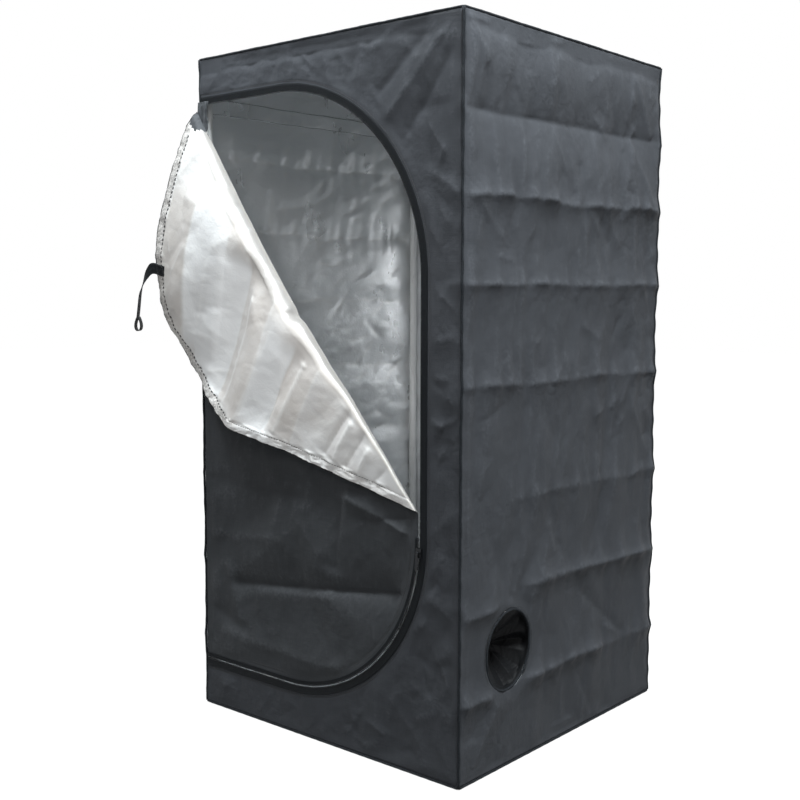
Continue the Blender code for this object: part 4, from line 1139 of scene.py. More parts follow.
@dataclass(frozen=True)
class Tent:
    """The sizes of the sewn skin and its tube frame."""

    half: float = 0.305
    height: float = 1.200
    panel: float = 0.303
    panel_edge: float = 0.3015
    panel_low: float = 0.0040
    panel_high: float = 1.1965
    roof: float = 1.198
    fabric: float = 0.0007
    seam: float = 0.0024
    jut: float = 0.0024
    jut_reach: float = 0.018
    ripple: float = 0.00035
    ripple_rates: tuple[float, ...] = (13, 31, 67, 140)
    sway_end: float = 0.005
    sway_fade: float = 0.03
    sway_shares: Flat = (0.8, 1.35)
    folds: tuple[float, ...] = (1.055, 0.928, 0.790, 0.631, 0.442, 0.285, 0.134)
    tube: float = 0.008
    tube_wall: float = 0.0008
    frame: float = 0.2917
    frame_low: float = 0.0118
    frame_high: float = 1.1867
    tube_seat: float = 0.0123

    def corner_sway(self, x_side: int, y_side: int, z: Array) -> Array:
        """Gives how far a corner's seam juts out of its straight line.

        Args:
            x_side: The corner's side along X, -1 or 1.
            y_side: Its side along Y.
            z: Heights along it.

        Returns:
            The sway outwards along X and along Y, one row for each height.
        """
        rng = np.random.RandomState(20 + 3 * x_side + y_side)
        ways = []
        for _ in range(2):
            gains, phases = rng.uniform(0.3, 1.3, len(self.folds)), rng.uniform(0, 2 * math.pi, 4)
            away = [np.abs(z - fold) / self.jut_reach for fold in self.folds]
            jut = sum(gain * np.exp(-share) for gain, share in zip(gains, away))
            waves = sum(np.sin(rate * z + phase) for rate, phase in zip(self.ripple_rates, phases))
            ends = (z - self.sway_end, self.height - self.sway_end - z)
            fade = eased(ends[0] / self.sway_fade) * eased(ends[1] / self.sway_fade)
            ways.append((self.jut * (jut - 0.30) + self.ripple * waves) * fade)
        return np.column_stack(ways) * self.sway_shares[y_side > 0]


@dataclass(frozen=True)
class Doorway:
    """The D of the doorway, measured on the line where the two halves of the zip meet."""

    hinge: float = -0.2978
    top: float = 1.115
    bottom: float = 0.089
    right: float = 0.222
    top_radius: float = 0.317
    bottom_radius: float = 0.298
    plane: float = -0.303

    def path(self, offset: float, step: float = 0.004, left: float | None = None) -> Array:
        """Gives the D as (x, z) points from its top left round to its bottom left.

        Args:
            offset: How far outside the zip's line it runs.
            step: About how far its points lie apart.
            left: Where it starts and ends, if not at the hinge.

        Returns:
            The points, one a row.
        """
        left = self.hinge if left is None else left
        top, right, bottom = self.top + offset, self.right + offset, self.bottom - offset
        upper, lower = self.top_radius + offset, self.bottom_radius + offset
        turn = np.linspace(0, math.pi / 2, 120)
        arch = np.column_stack((right - upper + upper * np.sin(turn), top - upper + upper * np.cos(turn)))
        bowl = np.column_stack((right - lower + lower * np.cos(turn), bottom + lower - lower * np.sin(turn)))
        return evenly(np.vstack(((left, top), arch, bowl, (left, bottom))), step)

    def inside(self, flat: Array) -> Array:
        """Gives how far points of the closed door lie inside the zip's line."""
        x, z = flat[:, 0], flat[:, 1]
        straight = np.minimum(np.minimum(self.top - z, z - self.bottom), self.right - x)
        upper = Vector((self.right - self.top_radius, self.top - self.top_radius))
        lower = Vector((self.right - self.bottom_radius, self.bottom + self.bottom_radius))
        arch = self.top_radius - np.hypot(x - upper.x, z - upper.y)
        bowl = self.bottom_radius - np.hypot(x - lower.x, z - lower.y)
        inside = np.where((x > upper.x) & (z > upper.y), arch, straight)
        return np.where((x > lower.x) & (z < lower.y), bowl, inside)

    def side(self, x: Array, offset: float, upper: bool) -> Array:
        """Gives the height of the D's upper or lower side at places along its width."""
        radius = (self.top_radius if upper else self.bottom_radius) + offset
        past = np.clip(x - (self.right + offset - radius), 0, radius)
        rise = offset - radius + np.sqrt(radius**2 - past**2)
        return self.top + rise if upper else self.bottom - rise

    def upright(self, flat: Array, out: Array | float = 0.0) -> Array:
        """Stands points of the closed door up in its plane, some way out in front."""
        return np.column_stack((flat[:, 0], self.plane - np.broadcast_to(out, len(flat)), flat[:, 1]))


@dataclass(frozen=True)
class Fold:
    """How the door's upper part rolls over its outside, as the CAD's own door does."""

    doorway: Doorway
    hinge_height: float = 1.107
    zip_height: float = 0.428
    ridge_height: float = 0.016
    ridge_depth: float = 0.044
    fade: float = 0.060
    marks: tuple[float, ...] = (0.0, 0.09, 0.18, 0.27, 0.37, 0.46, 0.55, 0.64, 0.75, 0.9, 1.0)
    fullness: tuple[float, ...] = (0.45, 0.6, 0.75, 0.9, 1.0, 1.0, 0.95, 0.7, 0.38, 0.2, 0.12)
    tilts: tuple[float, ...] = (12, 10, 6, 1, -6, -6, -2, 1, 2, 1, 1)
    drape_shares: tuple[float, ...] = (0.02, 0.17, 0.34, 0.49)
    drape_depths: tuple[float, ...] = (0.005, 0.007, 0.008, 0.006)
    drape_breadth: float = 0.028
    drape_slant: float = 0.32
    half_width: float = 0.305
    neck: float = 0.034
    neck_share: float = 0.30
    pinch_share: float = 0.528
    pinch_depth: float = 0.006
    pinch_reach: float = 0.012
    shoulder: float = 0.005
    shoulder_reach: float = 0.018
    corner: Flat = (0.190, 0.850)
    corner_reach: float = 0.055
    corner_stretch: Flat = (0.0070, 0.0055)
    normal_step: float = 0.0008

    @property
    def start(self) -> Array:
        """The fold line's end at the hinge, on the closed door."""
        return np.array((self.doorway.hinge, self.hinge_height))

    @property
    def length(self) -> float:
        """The fold line's length."""
        return float(np.linalg.norm(np.array((self.doorway.right, self.zip_height)) - self.start))

    @property
    def along(self) -> Array:
        """The fold line's direction."""
        return (np.array((self.doorway.right, self.zip_height)) - self.start) / self.length

    @property
    def across(self) -> Array:
        """The direction up and away from the fold line."""
        return np.array((-self.along[1], self.along[0]))

    @property
    def turn(self) -> float:
        """How much cloth the fullest part of the roll takes."""
        return math.pi * (self.ridge_height + self.ridge_depth / 2) / 2

    def at_mark(self, along: Array, values: Sequence[float]) -> Array:
        """Gives a value eased between the fold's marks."""
        share = np.clip(along / self.length, 0, 1)
        marks, values = np.array(self.marks), np.array(values, float)
        span = np.clip(np.searchsorted(marks, share) - 1, 0, len(marks) - 2)
        part = eased((share - marks[span]) / (marks[span + 1] - marks[span]))
        return values[span] + (values[span + 1] - values[span]) * part

    def sag(self, along: Array) -> Array:
        """Gives how far the line where the cloth turns out lies below the straight fold line."""
        return self.turn / 2 * self.at_mark(along, self.fullness)

    def seam(self, x: Array) -> Array:
        """Gives the height of the line where the cloth turns out, at places along the door's width."""
        along = np.linspace(-0.05, self.length, 600)
        line = self.start + along[:, None] * self.along - self.sag(along)[:, None] * self.across
        return np.interp(x, line[:, 0], line[:, 1])

    def drape(self, x: Array, z: Array) -> Array:
        """Gives how far the hanging folds stand out."""
        slant = self.drape_slant * (self.hinge_height - z - self.half_width)
        depth = np.zeros(len(x))
        for share, fold_depth in zip(self.drape_shares, self.drape_depths):
            away = (x + self.half_width + slant - share * 2 * self.half_width) / self.drape_breadth
            depth += fold_depth * np.exp(-away * away)
        return depth

    def place(self, flat: Array) -> Array:
        """Gives where points of the closed door lie once it is folded over.

        Args:
            flat: The points as (x, z), one a row.

        Returns:
            Their places, one a row.
        """
        pull = np.exp(-np.sum(((flat - np.array(self.corner)) / self.corner_reach) ** 2, axis=1))
        flat = flat + pull[:, None] * np.array(self.corner_stretch)
        from_start = flat - self.start
        along, across = from_start @ self.along, from_start @ self.across
        full = self.at_mark(along, self.fullness)
        turn, sag = self.turn * full, self.sag(along)
        run = np.maximum(across + sag, 0)
        past_neck = eased((flat[:, 0] - self.doorway.hinge) / self.neck)
        run = run * (self.neck_share + (1 - self.neck_share) * past_neck)
        angle = np.minimum(math.pi * run / turn, math.pi)
        down = np.maximum(run - turn, 0)
        tilt = np.radians(self.at_mark(along, self.tilts))
        rise = self.ridge_height * full * np.sin(angle) - sag - down * np.cos(tilt)
        pinch = (along / self.length - self.pinch_share) / self.pinch_reach
        dip = np.exp(-pinch * pinch) - 0.6 * np.exp(-((pinch - 3.2) ** 2) / 6)
        rise = rise - self.pinch_depth * dip * np.sin(angle)
        out = self.ridge_depth * full * (1 - np.cos(angle)) / 2 + down * np.sin(tilt)
        out = out + self.shoulder * full * (1 - np.exp(-down / self.shoulder_reach))
        hung = self.start + along[:, None] * self.along + rise[:, None] * self.across
        out = out + self.drape(hung[:, 0], hung[:, 1]) * eased(down / self.fade)
        return np.column_stack((hung[:, 0], self.doorway.plane - out, hung[:, 1]))

    def normal(self, flat: Array) -> Array:
        """Gives which way the canvas side faces at points of the folded door."""
        step = self.normal_step
        wide = self.place(flat + (step, 0)) - self.place(flat - (step, 0))
        tall = self.place(flat + (0, step)) - self.place(flat - (0, step))
        return unit(np.cross(wide, tall))


# The skin


@dataclass(frozen=True)
class Facing:
    """Where a flat panel's zero stands, and which ways its width, its height and its canvas face."""

    origin: Point
    wide: Point
    tall: Point
    out: Point

    def stand(self, flat: Array, height: Array) -> Array:
        """Puts points of the flat cloth in place, each at its height above the panel."""
        axes = np.array((self.wide, self.tall))
        return np.array(self.origin) + flat @ axes + height[:, None] * np.array(self.out)

    @property
    def flip(self) -> bool:
        """Whether a grid of width by height faces inwards and has to be turned over."""
        return float(np.dot(np.cross(self.wide, self.tall), self.out)) < 0


@dataclass
class Skin:
    """The six panels of coated canvas with a silver film inside, stretched over the tube frame."""

    tent: Tent
    doorway: Doorway
    finishes: Wardrobe
    seam_reach: float = 0.013
    sway_reach: float = 0.030
    allowance: float = 0.010
    doorway_hem: float = 0.015
    doorway_edge: float = 0.0128
    weave_step: Flat = (0.0052, 0.0037)
    port_radius: float = 0.0626
    port_sag: float = 0.07
    intake: Flat = (-0.172, 0.195)
    exhaust: Flat = (0.140, 1.035)
    clearance: float = 0.0002
    soft_bend: float = 0.0005
    hook_reach: float = 0.026
    floor_edge: float = 0.300
    floor_height: float = 0.0008
    corner_reach: float = 0.074
    drawn_in: float = 0.0026
    drawn_at: float = 0.019
    drawn_reach: float = 0.010
    tube_room: float = 0.0021
    bar_room: float = 0.0022
    free_from: float = 0.022
    corner_fade: float = 0.016
    hook_fade: float = 0.012
    bar_fade: float = 0.014
    rim_fade: float = 0.03
    front_fade: float = 0.02
    hem_ridge: float = 0.015
    hem_line: Point = (0.0005, 0.0186, 0.0016)
    door_side: float = -0.2
    front_rows: int = 46

    def build(self) -> list[Piece]:
        """Builds the six panels."""
        tent, (left, *upright) = self.tent, self.left_shape()
        right = Facing((tent.panel, 0, 0), (0, 1, 0), (0, 0, 1), (1, 0, 0))
        back = Facing((0, tent.panel, 0), (1, 0, 0), (0, 0, 1), (0, 1, 0))
        roof = Facing((0, 0, tent.roof), (1, 0, 0), (0, 1, 0), (0, 0, 1))
        floor = Facing((0, 0, self.floor_height), (1, 0, 0), (0, 1, 0), (0, 0, -1))
        level, low = ([(-edge, -edge), (edge, edge)] for edge in (tent.panel_edge, self.floor_edge))
        return [
            self.front(),
            self.wall("right_panel", right, *upright, RIGHT_WALL, self.intake),
            self.wall("left_panel", left, *upright, LEFT_WALL),
            self.wall("back_panel", back, *upright, BACK_WALL, self.exhaust),
            self.wall("roof_panel", roof, *level, ROOF),
            self.wall("floor_panel", floor, *low, FLOOR),
        ]

    def room(self, flat: Array, low: Flat, high: Flat) -> Array:
        """Fades a panel's relief out towards its seams.

        Args:
            flat: Points of the flat cloth.
            low: The panel's lowest corner.
            high: Its highest corner.

        Returns:
            A share of the full relief at each point.
        """
        edge = np.minimum(flat - np.array(low), np.array(high) - flat).min(axis=1)
        return eased(edge / self.seam_reach)

    def held(self, height: Array, flat: Array, low: Flat, high: Flat, hooks: float = 0.0) -> Array:
        """Keeps a panel outside the tubes, corners and hooks behind it, and draws it in under its upper seam.

        Args:
            height: The relief's heights.
            flat: Their places on the flat cloth.
            low: The panel's lowest corner.
            high: Its highest corner.
            hooks: How far down the panel the lamp bars' hooks reach behind it.

        Returns:
            The heights, held.
        """
        edge = np.minimum(flat - np.array(low), np.array(high) - flat).min(axis=1)
        side, top, base = self.tent.panel_edge - np.abs(flat[:, 0]), high[1] - flat[:, 1], flat[:, 1] - low[1]
        height = height - self.drawn_in * np.exp(-(((top - self.drawn_at) / self.drawn_reach) ** 2))
        least = -self.tube_room - 0.25 * np.maximum(edge - self.free_from, 0)
        near = eased((self.corner_reach - np.maximum(side, np.minimum(top, base))) / self.corner_fade)
        near = np.maximum(near, eased((hooks + self.hook_fade - top) / self.hook_fade) if hooks else 0)
        return self.above(height, least + (-self.clearance - least) * near)

    def above(self, height: Array, least: Array) -> Array:
        """Keeps heights above their least, with a soft bend."""
        return (height + least + np.sqrt((height - least) ** 2 + self.soft_bend**2)) / 2

    def swayed(self, facing: Facing, flat: Array, height: Array) -> Array:
        """Stands an upright panel up with its side edges drawn to the swaying corner seams."""
        places = facing.stand(flat, height)
        across, out = int(abs(facing.wide[1])), int(abs(facing.out[1]))
        for side in (-1, 1):
            corner = [0, 0]
            corner[across], corner[out] = side, int(facing.out[out])
            near = np.exp(-(((self.tent.panel_edge - side * flat[:, 0]) / self.sway_reach) ** 2))
            sway = self.tent.corner_sway(*corner, flat[:, 1]) * near[:, None]
            places[:, across] += side * sway[:, across]
            places[:, out] += facing.out[out] * sway[:, out]
        return places

    def dress(self, obj: Piece, places: Array, flat: Array, crest: Array) -> None:
        """Gives a panel its shape, its two sides and its thickness."""
        sides = (self.finishes.canvas, self.finishes.wall_lining)
        tailor(obj, places, flat, self.tent.fabric, *sides, crest=crest)

    def roof_held(self, height: Array, flat: Array) -> Array:
        """Keeps the roof above the lamp bars, and above the hooks and corners along its edges."""
        side = self.tent.panel_edge - np.abs(flat)
        hooks, corners = self.corner_reach - side[:, 0], self.corner_reach - side.max(axis=1)
        near = np.maximum(eased(hooks / self.bar_fade), eased(corners / self.corner_fade))
        return self.above(height, -self.bar_room * (1 - near) - self.clearance * near)

    def left_shape(self) -> tuple[Facing, Flat, Flat]:
        """Gives how the left wall stands, its lowest corner and its highest."""
        facing = Facing((-self.tent.panel, 0, 0), (0, 1, 0), (0, 0, 1), (-1, 0, 0))
        edge = self.tent.panel_edge
        return facing, (-edge, self.tent.panel_low), (edge, self.tent.panel_high)

    def inside_left(self, flat: Array, inwards: Array | float) -> Array:
        """Puts points on the inside of the left wall, some way in from its cloth."""
        facing, low, high = self.left_shape()
        height = LEFT_WALL.height(flat) * self.room(flat, low, high)
        return self.swayed(facing, flat, self.held(height, flat, low, high, self.hook_reach) - inwards)

    def wall(
        self, name: str, facing: Facing, low: Flat, high: Flat, relief: Relief, port: Flat | None = None
    ) -> Piece:
        """Builds a rectangular panel.

        Args:
            name: The CAD node that it replaces, and its own name with "cloth" after it.
            facing: Where it stands.
            low: Its lowest corner on the flat cloth.
            high: Its highest corner.
            relief: Its creases and crumples.
            port: The middle of its duct port, if it has one.

        Returns:
            The panel.
        """
        span = np.subtract(high, low)
        columns, rows = (int(round(side / step)) for side, step in zip(span, self.weave_step))
        obj, shares = grid(f"{name}_cloth", columns, rows, facing.flip)
        flat = np.array(low) + shares * span
        room = self.room(flat, low, high)
        if port is not None:
            away = np.linalg.norm(flat - np.array(port), axis=1) - self.port_radius
            room = room * (0.12 + 0.88 * eased(away / self.rim_fade))
        upright = facing.out[2] == 0
        height = relief.height(flat) * room
        if upright:
            height = self.held(height, flat, low, high, self.hook_reach if facing.out[0] else 0.0)
        elif facing.out[2] > 0:
            height = self.roof_held(height, flat)
        places = self.swayed(facing, flat, height) if upright else facing.stand(flat, height)
        self.dress(obj, places, flat, crests(shares, height, columns, rows))
        if port is not None:
            self.cut_port(obj, facing, port)
        settle(obj, FRAME_BODY, Slot.CANVAS, name)
        return obj

    def cut_port(self, obj: Piece, facing: Facing, port: Flat) -> None:
        """Cuts a round hole into a panel and draws its rim up to the circle."""
        centre = Vector(facing.stand(np.array([port]), np.zeros(1))[0])
        out = Vector(facing.out)
        bm = bmesh.new()
        bm.from_mesh(obj.data)
        spokes = [(face, face.calc_center_median() - centre) for face in bm.faces]
        inner = [face for face, spoke in spokes if (spoke - out * spoke.dot(out)).length < self.port_radius]
        bmesh.ops.delete(bm, geom=inner, context="FACES")
        for vert in bm.verts:
            spoke = vert.co - centre
            rise = out * spoke.dot(out)
            spoke -= rise
            if vert.is_boundary and spoke.length < self.port_radius + 0.02:
                rim = spoke.normalized() * self.port_radius
                vert.co = centre + rise + rim + Vector((0, 0, self.port_sag * rim.z))
        bm.to_mesh(obj.data)
        bm.free()

    def front(self) -> Piece:
        """Builds the front panel, from the doorway's hem out to the seams."""
        tent, door = self.tent, self.doorway
        edge, low, high = tent.panel_edge, tent.panel_low, tent.panel_high
        inner = door.path(self.doorway_edge, 0.0042, -edge)
        outer = self.frame_points(inner)
        columns, rows = len(inner) - 1, self.front_rows
        obj, shares = grid("front_panel_cloth", columns, rows, False)
        column = np.rint(shares[:, 0] * columns).astype(int)
        out = (1 - shares[:, 1])[:, None] ** 0.85
        flat = outer[column] + (inner[column] - outer[column]) * out
        away = -door.inside(flat)
        upright = np.minimum(flat[:, 1] - low, high - flat[:, 1])
        sideways = np.where(flat[:, 0] < self.door_side, upright, edge - np.abs(flat[:, 0]))
        room = eased(np.minimum(upright, sideways) / self.front_fade)
        room = room * (0.06 + 0.94 * eased((away - self.hem_ridge) / self.front_fade))
        depth, middle, reach = self.hem_line
        hem = -depth * np.exp(-(((away - middle) / reach) ** 2))
        height = FRONT.height(flat) * room + hem
        height = self.held(height, flat, (-1.0, low), (edge, high))
        facing = Facing((0, door.plane, 0), (1, 0, 0), (0, 0, 1), (0, -1, 0))
        self.dress(obj, self.swayed(facing, flat, height), flat, crests(shares, height, columns, rows))
        settle(obj, FRAME_BODY, Slot.CANVAS, "front_panel")
        wide, tall = 2 * (edge + self.allowance), high - low + 2 * self.allowance
        area = wide * tall - self.doorway_area(self.doorway_edge - self.doorway_hem)
        return obj

    def frame_points(self, inner: Array) -> Array:
        """Gives the point of the front panel's outline that lies outwards of each doorway point."""
        tent, door = self.tent, self.doorway
        edge = tent.panel_edge
        outer = np.column_stack((np.full(len(inner), edge), inner[:, 1]))
        for way, end, radius, level in (
            (1, door.top, door.top_radius, tent.panel_high),
            (-1, door.bottom, door.bottom_radius, tent.panel_low),
        ):
            middle = np.array((door.right - radius, end - way * radius))
            spoke = inner - middle
            past = way * spoke[:, 1] > 0
            outer[past] = np.column_stack((inner[:, 0], np.full(len(inner), level)))[past]
            across = (edge - middle[0]) / np.maximum(spoke[:, 0], 1e-9)
            reach = np.minimum(across, way * (level - middle[1]) / np.maximum(way * spoke[:, 1], 1e-9))
            bend = past & (spoke[:, 0] > 0)
            outer[bend] = (middle + spoke * reach[:, None])[bend]
            corner = np.array((edge, level))
            outer[np.argmin(np.linalg.norm(outer - corner, axis=1))] = corner
        return outer

    def doorway_area(self, offset: float) -> float:
        """Gives the area of the doorway's D at an offset from the zip's line."""
        path = self.doorway.path(offset, 0.004, -self.tent.panel_edge)
        x, z = path[:, 0], path[:, 1]
        return float(abs(np.sum(x * np.roll(z, -1) - z * np.roll(x, -1))) / 2)


@dataclass
class ZipPatch:
    """The crumpled patch of canvas sewn over the zip's upper end, at the doorway's top left corner."""

    doorway: Doorway
    finishes: Wardrobe
    left: float = -0.3035
    right: float = -0.2755
    low: float = 1.066
    high: float = 1.121
    stand: float = 0.0030
    thickness: float = 0.0008
    waves: Flat = (0.0022, 0.0030)
    wave_rates: Flat = (170, 260)
    sag: float = 0.004
    size: tuple[int, int] = (28, 48)

    def build(self) -> list[Piece]:
        """Builds the patch."""
        obj, shares = grid("zip_end_patch", *self.size, False)
        low, high = np.array((self.left, self.low)), np.array((self.right, self.high))
        flat = low + shares * (high - low)
        flat[:, 0] += self.waves[0] * np.sin(self.wave_rates[0] * flat[:, 1]) * shares[:, 0]
        flat[:, 1] += self.waves[1] * np.sin(self.wave_rates[1] * flat[:, 0] + 1.0) * (1 - shares[:, 1])
        crumpled = ZIP_PATCH.height(flat) * eased(shares[:, 0] / 0.2)
        height = self.stand + crumpled + self.sag * (1 - shares[:, 1])
        crest = crests(shares, height, *self.size)
        places, finish = self.doorway.upright(flat, height), self.finishes.door_canvas
        tailor(obj, places, flat, self.thickness, finish, crest=crest)
        settle(obj, FRAME_BODY, Slot.CANVAS_DARK)
        return [obj]


@dataclass
class WallBand:
    """The sewn band along the left wall's inside, with a row of dark stitches at each edge."""

    skin: Skin
    front: Flat = (1.102, 1.132)
    back: Flat = (1.112, 1.141)
    stand: float = 0.0010
    thickness: float = 0.0005
    stitch_inset: float = 0.0016
    stitch_sizes: Point = (0.0042, 0.0038, 0.0013)
    puff: float = 0.0006
    end: float = 0.004
    waves: Flat = (0.0008, 0.0005)
    size: tuple[int, int] = (150, 10)

    def __post_init__(self) -> None:
        """Takes the measures and the finishes from the skin."""
        self.tent, self.finishes = self.skin.tent, self.skin.finishes

    def line(self, front: float, back: float) -> Array:
        """Gives a line along the flat wall from its front to its back."""
        y = np.linspace(-self.tent.panel_edge + self.end, self.tent.panel_edge - self.end, 160)
        share = (y + self.tent.panel_edge) / (2 * self.tent.panel_edge)
        z = front + (back - front) * share + self.waves[0] * np.sin(23 * y) + self.waves[1] * np.sin(71 * y)
        return np.column_stack((y, z))

    def build(self) -> list[Piece]:
        """Builds the band and its stitches."""
        obj, shares = grid("wall_band", *self.size, False)
        low, high = self.line(self.front[0], self.back[0]), self.line(self.front[1], self.back[1])
        run = shares[:, 0] * lengths(low)[-1]
        on_wall = at_length(low, run) * (1 - shares[:, 1:]) + at_length(high, run) * shares[:, 1:]
        flat = np.column_stack((run, on_wall[:, 1]))
        puff = WALL_BAND.height(flat)
        rim = eased(np.minimum(shares[:, 1], 1 - shares[:, 1]) / 0.2)
        height = (self.puff + np.abs(puff)) * rim
        places = self.skin.inside_left(on_wall, self.stand + height)
        crest = crests(shares, height, *self.size)
        tailor(obj, places, flat, self.thickness, self.finishes.wall_lining, crest=crest)
        pieces = [settle(obj, FRAME_BODY, Slot.LINING)]
        for name, front, back in (
            ("wall_band_stitches_low", self.front[0] + self.stitch_inset, self.back[0] + self.stitch_inset),
            ("wall_band_stitches_high", self.front[1] - self.stitch_inset, self.back[1] - self.stitch_inset),
        ):
            line = self.skin.inside_left(self.line(front, back), self.stand + self.puff)
            into, thread = np.array((1.0, 0, 0)), self.finishes.thread
            pieces.append(sewn(name, line, into, self.stitch_sizes, thread, FRAME_BODY, Slot.BINDING))
        return pieces


@dataclass
class BoundSeams:
    """Bias tape folded over the skin's seams: up each corner, round the top and round the base."""

    tent: Tent
    finishes: Wardrobe
    base_radius: float = 0.0022
    sway: float = 0.0004
    bend: float = 0.004
    top_edge: float = 0.0030
    base_edge: float = 0.0040

    def build(self) -> list[Piece]:
        """Builds the six seams."""
        half, radius = self.tent.half, self.tent.seam
        pieces = [
            self.loop("binding_top", radius, self.tent.height - radius),
            self.loop("binding_base", self.base_radius, self.base_radius + 0.0003),
        ]
        for side, x_side in (("left", -1), ("right", 1)):
            for face, y_side in (("front", -1), ("back", 1)):
                z = np.linspace(self.base_edge, self.tent.height - self.top_edge, 260)
                sway = self.tent.corner_sway(x_side, y_side, z)
                x, y = x_side * (half - radius + sway[:, 0]), y_side * (half - radius + sway[:, 1])
                name = f"binding_{face}_{side}"
                pieces.append(self.seam(name, np.column_stack((x, y, z)), radius, False))
        return pieces

    def stray(self, run: Array, seed: int) -> Array:
        """Gives how far a seam strays inwards along its run."""
        rng = np.random.RandomState(seed)
        phases = rng.uniform(0, 2 * math.pi, 4)
        waves = sum(np.sin(rate * run + phase) for rate, phase in zip((9.0, 23.0, 47.0, 95.0), phases))
        return self.sway * (1 + waves / 4)

    def seam(self, name: str, path: Array, radius: float, cyclic: bool) -> Piece:
        """Builds one bound seam with small puckers along it."""
        run = lengths(path)
        rng = np.random.RandomState(len(name) * 7)
        turn = run * 2 * math.pi
        puckers = 0.06 * np.sin(turn / 0.019 + rng.uniform(0, 6)) + 0.05 * np.sin(turn / 0.031)
        obj = swept(name + "_tape", path, radius * (0.93 + puckers * 0.6), self.finishes.binding, 12, cyclic)
        return settle(obj, FRAME_BODY, Slot.BINDING, name)

    def loop(self, name: str, radius: float, z: float) -> Piece:
        """Builds a seam that runs once round the tent."""
        bend = self.bend
        side = self.tent.half - radius - bend
        turn = np.linspace(0, math.pi / 2, 6)
        corners = ((1, -1, -math.pi / 2), (1, 1, 0), (-1, 1, math.pi / 2), (-1, -1, math.pi))
        path = []
        for x, y, start in corners:
            for angle in start + turn:
                path.append((x * side + bend * math.cos(angle), y * side + bend * math.sin(angle)))
        path.append(path[0])
        ring = evenly(np.array(path), 0.005)[:-1]
        run = lengths(ring)
        top = radius == self.tent.seam
        dip = self.stray(run, 17) * (1.0 if top else 0.3)
        inward = ring / np.linalg.norm(ring, axis=1)[:, None] * (dip * 0.6)[:, None]
        level = z - dip if top else np.full(len(ring), z)
        return self.seam(name, np.column_stack((ring - inward, level)), radius, True)


# The door and its zip


class ZipSide(Enum):
    """Which side of the zip's line a half lies on."""

    FRAME = 1
    DOOR = -1


